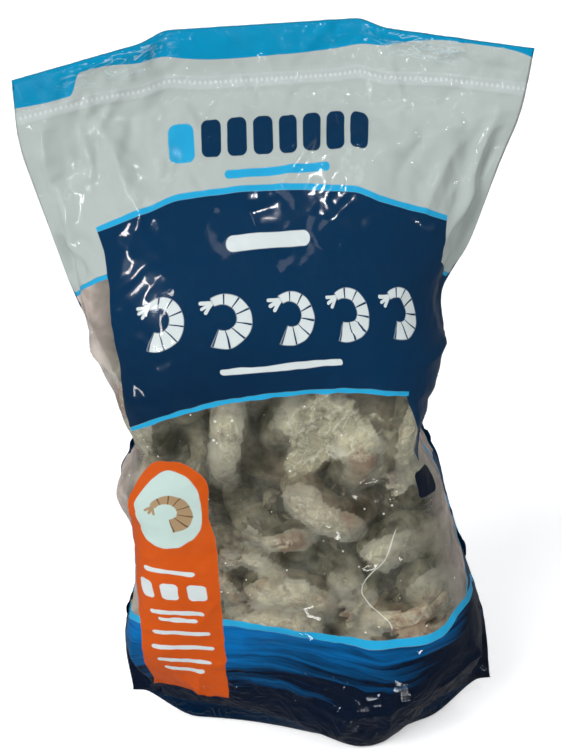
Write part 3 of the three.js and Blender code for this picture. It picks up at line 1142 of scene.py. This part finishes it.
# %% [markdown]
# ## The front print
# From the top: a blue header band, a white zone, a navy panel with a light-blue line above and below
# it, the clear window, an orange label at the left and, under a light-blue stripe, dark water. Words
# and signs are left out: pale bars and a row of little shrimp stand in their places.

# %% Colours of the inks
HEADER_BLUE = colour(0, 146, 190)
LINE_BLUE = colour(40, 168, 214)
PAPER_WHITE = colour(181, 190, 186)
NAVY = colour(2, 48, 82)
WATER = colour(0, 110, 178)
# The darkest blue: deep water, the small dark patch, the base, and painted shade on the navy panel.
DEEP_WATER_AND_SHADE = colour(0, 16, 38)
ORANGE = colour(206, 88, 22)
PALE = colour(214, 222, 222)
OVAL_PALE = colour(196, 216, 210)
TAN, TAN_LINES = colour(172, 146, 112), colour(110, 84, 58)
# Pale inks that partly stand for painted glints: on the crumpled band corners and on the zip.
SCUFF_AND_GLINT, ZIP_BAND, ZIP_TEETH_GLINT = colour(206, 226, 232), colour(206, 214, 214), colour(230, 236, 236)
print("navy in linear light:", [round(c, 3) for c in NAVY])

# %% Outlines on the flat front, in mm
HEADER_EDGE = [(-120, 352.5), (-94, 351.5), (-88, 361), (-61, 358), (-33, 352.5), (4, 352.5), (33, 354),
               (51, 358), (69, 363), (87, 365.5), (105, 365), (120, 362)]
STRIPE_EDGE = [(-120, 55), (-92, 68), (-78, 71), (-37, 74), (-19, 74), (8, 71), (27, 72), (46, 73),
               (65, 71.5), (80, 76), (96, 75.5), (120, 65)]
SIDE_EDGE = [(60, 64), (72, 80), (80, 92), (88, 103), (96, 112), (117, 115), (147, 103), (180, 96)]
STRIPE_WIDTH, SIDE_LINE_WIDTH, TOP_LINE_WIDTH, LOW_LINE_WIDTH, WHITE_LINE_WIDTH = 4.5, 3.0, 2.6, 2.4, 2.6
# The gathered film at the lower left draws the print out: how far it shifts it, and how much it pulls.
LABEL_SHIFT = [(12, 7), (28, 3.5), (44, 0)]
LABEL_PULL = [(12, 0.21), (29, 0.1), (56, 0.04), (80, 0.17), (102, 0.25), (121, 0.24), (134, 0.08),
              (142, 0)]
SHIFT_LEFT_OF, PULL_LEFT_OF = -18.0, -38.0
print("outlines of", len(HEADER_EDGE), len(STRIPE_EDGE), "and", len(SIDE_EDGE), "points")


def water(point):
    """Dark water: streaks that run along it, darker downwards, towards the right and towards both sides."""
    x, y = split(point)[:2]
    streaks = noise(stretched(point, (0.014, 0.2, 1)), 1.0, 4, 0.6, 0.6)
    depth = y.line(-1 / 40, 1.8) + x * 0.008
    depth = abs(x).above(66.0).line(0.02, depth)
    return paint(WATER, DEEP_WATER_AND_SHADE, calc("ADD", depth, streaks.line(2.2, -1.05), clamp=True))


def pull_label(point):
    x, y = split(point)[:2]
    beyond = x.below(PULL_LEFT_OF)
    x = x + edge(SHIFT_LEFT_OF - x, 20.0) * curve(y, LABEL_SHIFT, 0, 10)
    return point_at(x + beyond * curve(y, LABEL_PULL, 0, 0.5), y)


# %% Sizes of the navy panel, the white zone and the side, in mm
PANEL_MIDDLE, ARCH_TOP, ARCH_BEND = 4.0, 295.0, 0.00135
FOOT_OF_PANEL, FOOT_BEND, FOOT_BEND_LEFT = 207.8, 0.0013, 0.0014
PANEL_LEFT, LEFT_BEND, LEFT_BENDS_FROM = -74.5, 0.0026, 212.0
PANEL_RIGHT, RIGHT_SLANT, SLANTS_FROM, SLANT_MOST, SLANT_SOFT = 94.0, 2.1, 262.0, 13.0, 3.0
# Painted shade on the navy panel: darker below SHADE_FROM and left of SHADE_LEFT_OF.
SHADE_FROM, SHADE_LEFT_OF, LOW_LINE_TO = 226.0, 10.0, 62.0
WHITE_MIDDLE, WHITE_SLOPE, WHITE_LEAST, WHITE_LINE_FROM = 294.6, -0.353, 246.0, 80.0
SIDE_TOP, SIDE_LINE_TOP, NOTCH_TOP = 150.0, 178.0, 214.0
LABEL_FOOT, LABEL_CENTRE, LABEL_HALF, LABEL_CORNER = 12.0, (-57.7, 80), (20.5, 94), 18.5
OVAL_CENTRE, OVAL_HALF = (-57, 145), (16.8, 24)
ZIP_BAND_HALF, TEETH_HALF, TEETH_PER_MM = 3.0, 0.7, 0.42
print("the panel is", round(ARCH_TOP - FOOT_OF_PANEL), "mm high in its middle")


# %% The fields of the front
def panel_inks(x, y):
    """The navy panel: an arch above, a shallow arch below, cut at an angle at its upper right.
    Its lower left is darkened with painted shade.
    """
    top = ((x + PANEL_MIDDLE) ** 2.0).line(-ARCH_BEND, ARCH_TOP)
    from_middle = x - PANEL_MIDDLE
    bend = (from_middle < 0.0).line(FOOT_BEND_LEFT, FOOT_BEND)
    low = FOOT_OF_PANEL - bend * from_middle * from_middle
    raised = y.above(LEFT_BENDS_FROM)
    left = (raised * raised).line(-LEFT_BEND, PANEL_LEFT)
    slant = calc("SMOOTH_MIN", y.below(SLANTS_FROM), SLANT_MOST, SLANT_SOFT)
    columns = x.between(left, slant.line(RIGHT_SLANT, PANEL_RIGHT))
    panel = columns * y.between(low, top)
    # Painted shade: the panel's lower left is darkened, as less light falls there.
    shade = panel * edge(SHADE_FROM - y, 40.0) * edge(SHADE_LEFT_OF - x, 70.0) * 0.4
    line_top = columns * y.between(top, top + TOP_LINE_WIDTH)
    line_low = columns * y.between(low - LOW_LINE_WIDTH, low) * edge(LOW_LINE_TO - x)
    return top, [(panel, NAVY), (shade, DEEP_WATER_AND_SHADE), (line_top, LINE_BLUE), (line_low, LINE_BLUE)]


def white_inks(x, y, panel_top):
    low = abs(x).line(WHITE_SLOPE, WHITE_MIDDLE)
    white = either(edge(y - low) * edge(y - WHITE_LEAST), edge(y - panel_top))
    line = y.between(low - WHITE_LINE_WIDTH, low) * edge(abs(x) - WHITE_LINE_FROM)
    return [(white, PAPER_WHITE), (line, LINE_BLUE)]


def side_inks(point, x, y):
    """Beside the window at the right: navy with a line, a notch of it, and a small dark patch."""
    outline = curve(y, SIDE_EDGE, 40, 130)
    beside = edge(x - outline) * edge(SIDE_TOP - y)
    line = x.between(outline, outline + SIDE_LINE_WIDTH) * edge(SIDE_LINE_TOP - y)
    notch = x.between(y.line(-0.45, 151.0), y.line(1.8, -213.0)) * edge(NOTCH_TOP - y)
    patch = bar(point, (76, 151), (9, 7.5), 3, -0.1)
    return [(beside, NAVY), (line, LINE_BLUE), (notch, NAVY), (patch, DEEP_WATER_AND_SHADE)]


# %% The fields round the panel
def water_inks(point, x, y):
    top = curve(x, STRIPE_EDGE, 40, 90)
    under = edge(top - STRIPE_WIDTH - y)
    return [(under, water(point)), (y.between(top - STRIPE_WIDTH, top), LINE_BLUE)]


def label_inks(point, y):
    label = bar(point, LABEL_CENTRE, LABEL_HALF, LABEL_CORNER) * edge(y - LABEL_FOOT)
    return [(label, ORANGE), (oval(point, OVAL_CENTRE, OVAL_HALF), OVAL_PALE)]


def zip_inks(point, x, y):
    """Pale streaks on the crumpled corners of the header band, partly scuffed ink and partly painted
    glints, and the zip, whose teeth are pale dashes painted as small highlights.
    """
    ripples = noise(stretched(point, (0.5, 1.6, 1)), 0.14, 3, 0.6, 0.6)
    crinkle = abs(ripples.line(2.0, -1.0))
    from_corner = abs(abs(x) - 72.0)
    # Partly scuffed ink, partly painted glints where the corners of the band crumple.
    scuff_and_glints = edge(0.03 - crinkle, 0.05) * edge(y - 354.0, 6.0) * edge(20.0 - from_corner, 20.0)
    from_zip = abs(y - edge(abs(x) - 57.0, 50.0).line(ZIP_RISE, ZIP_MIDDLE))
    # Pale dashes along the zip, painted as the small highlights on its teeth.
    teeth_glints = edge(TEETH_HALF - from_zip, 0.5) * (calc("FRACT", x * TEETH_PER_MM) > 0.5)
    zip_band = edge(ZIP_BAND_HALF - from_zip, 0.6)
    return [(scuff_and_glints * 0.6, SCUFF_AND_GLINT), (zip_band * 0.3, ZIP_BAND), (teeth_glints * 0.4, ZIP_TEETH_GLINT)]


# %% What stands where the words were: centre, half size and corner of each bar, in mm
ROW_FIGURES, ROW_START, ROW_STEP, ROW_HEIGHT = 5, -54, 29, 242.5
ROW_SIZE, ROW_TURN, TAN_PLACE, TAN_SIZE, TAN_TURN = 13.5, 0.3, (-56, 144), 12.5, 0.9
PILLS, PILL_START, PILL_STEP = 7, -30, 12.2
LABEL_LINES = ((106, 11), (78, 12), (73, 9), (63, 14), (52, 15), (41, 13), (33, 10))
LABEL_BLOCKS, BLOCK_START, BLOCK_STEP = 3, -68, 11


def word_places(point):
    in_row, row_point = repeated(point, PILL_START, PILL_STEP, PILLS)
    places = [(bar(row_point, (0, 318), (4.6, 8), 3) * in_row, NAVY),
              (bar(point, (2, 303), (26, 1.8), 1.8, 0.02), LINE_BLUE),
              (bar(point, (-44, 316), (6, 8), 3, 0.04), LINE_BLUE),
              (bar(point, (-4, 275), (20, 3.2), 3.2, 0.03), PALE),
              (bar(point, (0, 219.5), (28, 1.5), 1.5, 0.03), PALE)]
    in_row, row_point = repeated(point, ROW_START, ROW_STEP, ROW_FIGURES)
    places += figure(row_point, (0, ROW_HEIGHT), ROW_SIZE, ROW_TURN, PALE, NAVY, in_row)
    places += [(bar(point, (-57, height), (half, 1.5), 1.5), PALE) for height, half in LABEL_LINES]
    in_row, row_point = repeated(point, BLOCK_START, BLOCK_STEP, LABEL_BLOCKS)
    places.append((bar(row_point, (0, 93), (3.6, 5.5), 2.2) * in_row, PALE))
    return places + figure(point, TAN_PLACE, TAN_SIZE, TAN_TURN, TAN, TAN_LINES)


# %% Lay the inks over each other
def layered(inks):
    result = PAPER_WHITE
    for mask, what in inks:
        result = paint(result, what, mask)
    return result


def build_front(point):
    point = pull_label(point)
    x, y = split(point)[:2]
    panel_top, panel = panel_inks(x, y)
    band = edge(y - curve(x, HEADER_EDGE, 340, 370))
    inks = white_inks(x, y, panel_top) + side_inks(point, x, y) + panel + water_inks(point, x, y)
    inks += [(band, HEADER_BLUE)] + label_inks(point, y) + word_places(point) + zip_inks(point, x, y)
    return {"Color": layered(inks), "Ink": either(*[mask for mask, _ in inks])}


PRINT_SOCKETS = {"Color": COLOR, "Ink": FLOAT}
front_group = new_group("front print", {"Point": (VECTOR, None)}, PRINT_SOCKETS, build_front)

# %% [markdown]
# ## The back print
# The photograph doesn't show the back. It is finished as such pouches are: the same header, white zone
# and water, a navy field, and pale blocks with thin bars where the facts and the cooking steps go.

# %% Back and base
WHITE_FROM, BAND_FROM, WATER_TO, LINE_STEP = 285.0, 354.0, 70.0, 9.5


def build_back(point):
    y = split(point)[1]
    inks = [(edge(y - WHITE_FROM), PAPER_WHITE), (edge(WHITE_FROM - y), NAVY),
            (y.between(WHITE_FROM, WHITE_FROM + 3), LINE_BLUE), (edge(WATER_TO - y), water(point)),
            (y.between(WATER_TO - 4, WATER_TO), LINE_BLUE), (edge(y - BAND_FROM), HEADER_BLUE),
            (bar(point, (-42, 176), (34, 72), 3), PAPER_WHITE),
            (bar(point, (46, 214), (32, 34), 3), PAPER_WHITE),
            (bar(point, (46, 126), (32, 22), 4), ORANGE), (bar(point, (0, 268), (40, 6), 3), PALE)]
    lines = [(-44, 238 - LINE_STEP * i, 26 - 5 * (i % 3), 1.2, NAVY) for i in range(14)]
    lines += [(45, 238 - LINE_STEP * i, 25 - 4 * (i % 2), 1.2, NAVY) for i in range(6)]
    lines += [(46, 136 - 10 * i, 22 - 4 * i, 1.6, PALE) for i in range(3)]
    for x, height, half, thick, what in lines:
        inks.append((bar(point, (x, height), (half, thick), thick), what))
    return {"Color": layered(inks), "Ink": 1.0}


def build_base(point):
    streaks = noise(stretched(point, (0.02, 0.16, 1)), 1.0, 4, 0.6, 0.6)
    return {"Color": paint(DEEP_WATER_AND_SHADE, WATER, streaks * 0.1), "Ink": 1.0}


back_group = new_group("back print", {"Point": (VECTOR, None)}, PRINT_SOCKETS, build_back)
base_group = new_group("base print", {"Point": (VECTOR, None)}, PRINT_SOCKETS, build_base)

# %% [markdown]
# ## Creases too fine to model
# Thin film is never smooth: it has short straight creases, dents and a soft orange-peel. They are
# given as a height on the flat sheet, and in the clear web a Bump node turns it into gloss that
# breaks up.

# %% Fine creases
def build_creases(point):
    waves = noise(point, 0.05, 2, 0.5, 0.3)
    ridge = abs(noise(point, 0.09, 2, 0.5, 1.0).line(2.0, -1.0))
    ridge = (1.0 - ridge) ** 6.0
    x, y = split(point)[:2]
    lively = either(edge(y - 318.0, 40.0), edge(46.0 - y, 40.0))
    crumpled = edge(y - 345.0, 8.0) * edge(abs(x) - 48.0, 30.0)
    crisp = ridge * lively.line(0.45, 0.01) + crumpled * ridge * 0.5
    return {"Height": waves.line(lively.line(0.3, 0.15), crisp)}


crease_group = new_group("film creases", {"Point": (VECTOR, None)}, {"Height": FLOAT}, build_creases)


# %% Helpers for whole materials
def new_material(name, **sockets):
    """A material with sockets of its Principled shader set: the tree, the shader and the output."""
    material = bpy.data.materials.new(name)
    material.use_nodes = True
    tree = material.node_tree
    principled = tree.nodes["Principled BSDF"]
    for key, value in sockets.items():
        principled.inputs[key.replace("_", " ")].default_value = value
    return material, tree, principled, tree.nodes["Material Output"]


def bump(height):
    return add_node(height.tree, "Bump", Strength=1.0, Distance=MM, Height=height)


def mix_shaders(tree, factor, first, second):
    node = tree.nodes.new("ShaderNodeMixShader")
    plug(node.inputs[0], factor)
    tree.links.new(first, node.inputs[1])
    tree.links.new(second, node.inputs[2])
    return node.outputs[0]


def skip_shadows(tree, shader, output, tint):
    """Light reaches the filling through this layer as if it were a plain tint: soft, and quick."""
    is_shadow = add_node(tree, "LightPath", "Is Shadow Ray")
    let_through = add_node(tree, "BsdfTransparent", Color=tint)
    tree.links.new(mix_shaders(tree, is_shadow, shader, let_through.socket), output.inputs["Surface"])


# %% The clear outer web: mostly see-through, with gloss by Fresnel
MOST_GLOSS = 0.3
WEB_IOR, BASE_IOR = 1.45, 1.15


def clear_web(name, place, ior):
    material, tree, principled, output = new_material(name, Metallic=1.0, Base_Color=(1, 1, 1, 1))
    point = flat_point(tree, place)
    normal = bump(use_group(crease_group, Point=point)["Height"])
    plug(principled.inputs["Roughness"], noise(point, 0.05, 2).line(0.1, 0.05))
    plug(principled.inputs["Normal"], normal)
    gloss = calc("MINIMUM", add_node(tree, "Fresnel", IOR=ior, Normal=normal), MOST_GLOSS)
    see_through = add_node(tree, "BsdfTransparent")
    shader = mix_shaders(tree, gloss, see_through.socket, principled.outputs[0])
    skip_shadows(tree, shader, output, (0.95, 0.95, 0.95, 1))
    return material


# %% [markdown]
# ## Frost and painted shade on the clear window
# The filling is seen through frost. Where the film is far from the shrimp, a dark layer is painted as
# the shade between them; where it is near, the frost is milky, and where it touches, pale and crinkled.
# A point attribute of the film, the gap to the shrimp behind it, says which. Rust-brown stains, air
# bubbles and one pale thread lie on top.

# %% What the window carries
FROST = colour(172, 170, 154)
SIDE_FROST = colour(216, 200, 190)
TOUCHING = colour(202, 198, 168)
# The colour of the painted shade in the gaps between the shrimp.
PAINTED_GAP_SHADE = colour(48, 48, 40)
RUST = colour(138, 88, 68)
ICE = colour(228, 230, 222)
THREAD = [(77, 42), (81, 42), (86, 38), (92, 32), (98, 30), (105, 33), (116, 43), (126, 48), (132, 51)]
THREAD_MIDDLE, THREAD_HALF = 104.5, 26.0
LUMP_PLACE, LUMP_SIZE, LUMP_SOFT = (22, 186), (29, 17), 0.3
SIDES_FROM, SIDES_SOFT = 83.0, 26.0
print("the thread runs through", len(THREAD), "points")


# %% Lumps, crinkles and bubbles
def pushed(point, amount, how_far):
    """The point moved to and fro along a diagonal by a noise."""
    return vector_calc("ADD", point, vector_calc("SCALE", point_at(amount, amount), how_far))


def voronoi(vector, scale, feature):
    made = add_node(vector.tree, "TexVoronoi", "Distance", Vector=vector, Scale=scale)
    made.socket.node.feature = feature
    return made


def touching_masks(point, gap, clouds, detail):
    """Where the film touches, the large pale lump under the panel, and the crinkles on both."""
    contact = edge(1.7 - gap, 0.8) * detail.line(3.0, -1.1, clamp=True)
    lump = oval(pushed(point, clouds - 0.5, 60.0), LUMP_PLACE, LUMP_SIZE, LUMP_SOFT)
    lump = lump * detail.line(2.2, -0.4, clamp=True)
    panes = voronoi(pushed(point, detail, 9.0), 0.12, "DISTANCE_TO_EDGE")
    return contact, lump, edge(0.03 - panes, 0.05) * either(contact, lump)


def bubbles(point):
    """Air bubbles of different sizes: half of the cells hold one."""
    distance = voronoi(point, 0.22, "F1")
    chosen, size = split(Wire(point.tree, distance.socket.node.outputs["Color"]))[:2]
    return edge(size * 0.15 - distance, 0.04) * (chosen > 0.5)


# %% All the frost and the painted gap shade, layer over layer
def frost_and_gap_shade(tree, point):
    """What the inside of the clear window carries: its colour, and how much it covers."""
    gap = attribute(tree, "gap")
    x, y = split(point)[:2]
    clouds = noise(point, 0.045, 3, 0.6, 0.4)
    side = edge(abs(x) - SIDES_FROM, SIDES_SOFT)
    # Painted shade: a dark layer where the film stands far from the shrimp, as the gaps between them lie in
    # shade.
    painted_gap_shade = edge(gap - 6.5, 9.0) * (1.0 - side) * clouds.line(-1.2, 1.35, clamp=True)
    milk = edge(8.0 - gap, 10.0) * clouds.line(3.0, -0.95, clamp=True)
    contact, lump, crinkle = touching_masks(point, gap, clouds, noise(point, 0.22, 4, 0.65, 0.8))
    stain = edge(0.4 - clouds, 0.08) * edge(5.0 - gap, 4.0)
    thread = edge(0.25 - abs(x - curve(y, THREAD, 20, 60)), 0.6)
    thread = thread * edge(THREAD_HALF - abs(y - THREAD_MIDDLE), 3.0)
    layers = ((PAINTED_GAP_SHADE, painted_gap_shade, 0.8), (SIDE_FROST, side * clouds.line(2.2, -0.3, clamp=True), 0.92),
              (FROST, milk, 0.78), (RUST, stain, 0.45), (TOUCHING, contact, 0.6), (TOUCHING, lump, 0.55),
              (ICE, crinkle, 0.28), (ICE, bubbles(point), 0.7), (ICE, thread, 0.8))
    frost, seen_through = FROST, None
    for what, mask, most in layers:
        cover = mask * most
        frost = paint(frost, what, calc("MULTIPLY", cover, 1.4, clamp=True))
        seen_through = 1.0 - cover if seen_through is None else (1.0 - cover) * seen_through
    return frost, 1.0 - seen_through


# %% The printed layer: ink where there is print, and frost and painted gap shade on the clear window
INK_COVER = 0.97
BEHIND_INK, BEHIND_FROST = (0.07, 0.07, 0.07, 1), (0.85, 0.85, 0.8, 1)
WINDOW_LOW, WINDOW_HIGH = 74.0, 204.0


def printed(name, group, place, has_window):
    """The tint is what the light keeps on its way to the filling: much of it in the window only."""
    material, tree, principled, output = new_material(name, Roughness=0.45, Specular_IOR_Level=0.0)
    point = flat_point(tree, place)
    art = use_group(group, Point=point)
    frost, cover = frost_and_gap_shade(tree, point)
    plug(principled.inputs["Base Color"], paint(frost, art["Color"], art["Ink"]))
    plug(principled.inputs["Alpha"], calc("MAXIMUM", art["Ink"] * INK_COVER, cover))
    y = split(point)[1]
    window = (y > WINDOW_LOW) * (y < WINDOW_HIGH) * has_window
    skip_shadows(tree, principled.outputs[0], output, paint(BEHIND_INK, BEHIND_FROST, window))
    return material


WEBS = (("front", front_group, PANEL_PLACE["front"], WEB_IOR, 1.0),
        ("back", back_group, PANEL_PLACE["back"], WEB_IOR, 0.0),
        ("base", base_group, PANEL_PLACE["front"], BASE_IOR, 0.0))
for number, (name, group, place, ior, has_window) in enumerate(WEBS):
    film.data.materials[number] = clear_web("clear web, " + name, place, ior)
    ink.data.materials[number] = printed("print, " + name, group, place, has_window)
print("film materials:", [m.name for m in film.data.materials])

# %% [markdown]
# ## The skin of a frozen shrimp
# Raw shell is a grey-green horn with brown dots, a dark vein along the back and reddish blades. Frost
# covers it in pale patches, and a fine bump stands for its crystals.

# %% Shrimp shell
SHELL_DARK, SHELL_PALE = colour(100, 97, 82), colour(206, 200, 176)
SHELL_PINK, SHELL_DULL, PLATE_EDGE = colour(164, 118, 88), colour(88, 84, 66), colour(172, 150, 118)
VEIN, BLADES, SWIMMERETS = colour(58, 48, 36), colour(84, 42, 34), colour(150, 128, 100)
DOTS, SHELL_FROST = colour(98, 70, 48), colour(196, 192, 160)
FAN_FROM = 0.66                    # where the fan begins, on the scale of the skin attribute


def shrimp_shell():
    material, tree, principled, _ = new_material("frosted shrimp shell")
    in_mm = stretched(add_node(tree, "TexCoord", "Object"), (1000, 1000, 1000))
    own = attribute(tree, "own")
    along, belly, trim = split(attribute(tree, "skin", "Color"), "SeparateColor")
    patches = noise(in_mm, 0.16, 5, 0.65, 0.5)
    frost = edge(patches - 0.5, 0.22)
    band = edge(calc("FRACT", along * (1.4 * PLATES)) - 0.84, 0.2)
    layers = ((SHELL_PALE, edge(noise(in_mm, 0.07, 4, 0.6) - 0.5, 0.26)),
              (SHELL_PINK, edge(own - 0.7, 0.2) * 0.7),
              (SHELL_DULL, edge(0.3 - own, 0.3) * 0.6), (PLATE_EDGE, band * 0.5),
              (VEIN, edge(0.05 - belly, 0.05) * 0.6), (BLADES, trim * edge(along - FAN_FROM, 0.1) * 0.85),
              (SWIMMERETS, trim * edge(FAN_FROM - along, 0.1) * 0.7),
              (DOTS, edge(noise(in_mm, 0.9, 3, 0.6) - 0.62, 0.06) * 0.35), (SHELL_FROST, frost * 0.72))
    shell = SHELL_DARK
    for what, mask in layers:
        shell = paint(shell, what, mask)
    plug(principled.inputs["Base Color"], shell)
    plug(principled.inputs["Roughness"], frost.line(0.3, 0.35))
    plug(principled.inputs["Normal"], bump(noise(in_mm, 0.35, 5, 0.65).line(1.2, patches * 0.8)))
    return material


shell_material = shrimp_shell()
for piece in shrimp_pieces:
    piece.data.materials.clear()
    piece.data.materials.append(shell_material)
print("the shell has", len(shell_material.node_tree.nodes), "nodes")

# %% [markdown]
# ## Handing the pieces to the frame
# Every piece rides on the one body of this object. The clear film stands for the CAD solid, which is
# hidden from now on.

# %% Ride and replace
for piece in [film, ink] + shrimp_pieces:
    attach(piece, "root")
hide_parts("bag")
print("handed over", 2 + len(shrimp_pieces), "pieces")

# %% [markdown]
# ## Floor and light
# A pale sweep of paper serves as floor and background, so that no horizon shows. The camera sees it a
# little brighter than it is lit, and the gloss of the film doesn't see it, which keeps the inks deep.
# A wide sun and a soft sky light the pouch. Five small lamps add little light: their reflections are
# the sharp glints that tell the eye that this is plastic, and one more, under the paper, gives the
# foot the gleam that the paper would.

# %% Paper sweep
FLOOR_SIZE, FLOOR_DROP, WALL_HEIGHT = 8, 0.0006, 5
SWEEP_BACK, SWEEP_RADIUS, SWEEP_STEPS = 1.6, 1.0, 12
PAPER_DARK, PAPER_LIGHT, PAPER_GLOW = (0.93, 0.93, 0.93, 1), (0.96, 0.96, 0.96, 1), 0.45
bpy.ops.object.select_all(action="DESELECT")
bpy.ops.mesh.primitive_plane_add(size=FLOOR_SIZE, location=(0, SWEEP_BACK - FLOOR_SIZE / 2, -FLOOR_DROP))
bpy.ops.object.transform_apply()
sweep = bpy.context.object
sweep.name = "paper"
for edge_line in sweep.data.edges:
    edge_line.select = all(sweep.data.vertices[i].co.y > 0 for i in edge_line.vertices)
for corner in sweep.data.vertices:
    corner.select = corner.co.y > 0
for face in sweep.data.polygons:
    face.select = False
bpy.ops.object.mode_set(mode="EDIT")
bpy.ops.mesh.select_mode(type="EDGE")
for step in range(SWEEP_STEPS):
    angle = (step + 0.5) / SWEEP_STEPS * math.pi / 2
    stride = SWEEP_RADIUS * math.pi / 2 / SWEEP_STEPS
    move = (0, stride * math.cos(angle), stride * math.sin(angle))
    bpy.ops.mesh.extrude_region_move(TRANSFORM_OT_translate={"value": move})
bpy.ops.mesh.extrude_region_move(TRANSFORM_OT_translate={"value": (0, 0, WALL_HEIGHT)})
bpy.ops.mesh.select_mode(type="VERT")
bpy.ops.mesh.select_all(action="SELECT")
bpy.ops.mesh.normals_make_consistent(inside=False)
bpy.ops.object.mode_set(mode="OBJECT")
bpy.ops.object.shade_smooth()
paper, tree, principled, _ = new_material("pale paper", Roughness=0.9, Emission_Color=(1, 1, 1, 1))
grain = noise(add_node(tree, "TexCoord", "Object"), 400, 2)
plug(principled.inputs["Base Color"], paint(PAPER_DARK, PAPER_LIGHT, grain))
plug(principled.inputs["Emission Strength"], add_node(tree, "LightPath", "Is Camera Ray") * PAPER_GLOW)
sweep.data.materials.append(paper)
sweep.visible_glossy = False
print("paper sweep:", len(sweep.data.polygons), "faces")

# %% Lamps: place, point aimed at, size in metres, power in watts
LAMPS = {
    "ceiling lamp": ((0.3, -1.0, 1.4), (0, 0, 0.25), (0.14, 0.06), 1.8),
    "soft box": ((-0.14, -1.2, 1.22), (0, 0, 0.28), (0.3, 0.3), 0.4),
    "left lamp": ((-0.9, -0.9, 0.75), (0, 0, 0.3), (0.08, 0.2), 1.6),
    "strip lamp": ((-0.7, -1.05, 0.5), (0, 0, 0.3), (0.06, 0.5), 1.6),
    "right lamp": ((1.1, -0.5, 0.9), (0, 0, 0.25), (0.08, 0.3), 1.6),
    "sheen of the paper": ((0.12, -0.42, -0.42), (0.02, 0, 0.04), (0.16, 0.06), 0.5)}
SUN_STRENGTH, SUN_ANGLE, SUN_HEADING = 1.6, 30, (0.55, 0.7, -0.75)
SKY, SKY_STRENGTH, SKY_IN_GLOSS, SKY_IN_VIEW = (0.95, 0.97, 1.0, 1), 0.35, -0.22, 0.7


def facing(heading):
    """The turn that points a lamp along a direction."""
    return Vector(heading).to_track_quat("-Z", "Y").to_euler()


bpy.ops.object.light_add(type="SUN", location=(-1, -1, 1.5))
daylight = bpy.context.object
daylight.data.energy = SUN_STRENGTH
daylight.data.angle = math.radians(SUN_ANGLE)
daylight.rotation_euler = facing(SUN_HEADING)
daylight.visible_glossy = False
for name, (place, aim, size, power) in LAMPS.items():
    bpy.ops.object.light_add(type="AREA", location=place)
    lamp = bpy.context.object
    lamp.name = name
    lamp.data.shape = "RECTANGLE"
    lamp.data.size, lamp.data.size_y = size
    lamp.data.energy = power
    lamp.rotation_euler = facing(Vector(aim) - Vector(place))
print(len(LAMPS), "lamps and a sun")

# %% Sky
world = bpy.data.worlds.new("daylight")
world.use_nodes = True
sky = world.node_tree
background = sky.nodes["Background"]
background.inputs["Color"].default_value = SKY
strength = add_node(sky, "LightPath", "Is Glossy Ray").line(SKY_IN_GLOSS, SKY_STRENGTH)
in_view = add_node(sky, "LightPath", "Is Camera Ray")
plug(background.inputs["Strength"], in_view.line(SKY_IN_VIEW, strength))
bpy.context.scene.world = world
bpy.context.scene.view_settings.view_transform = "Standard"
print("lit")
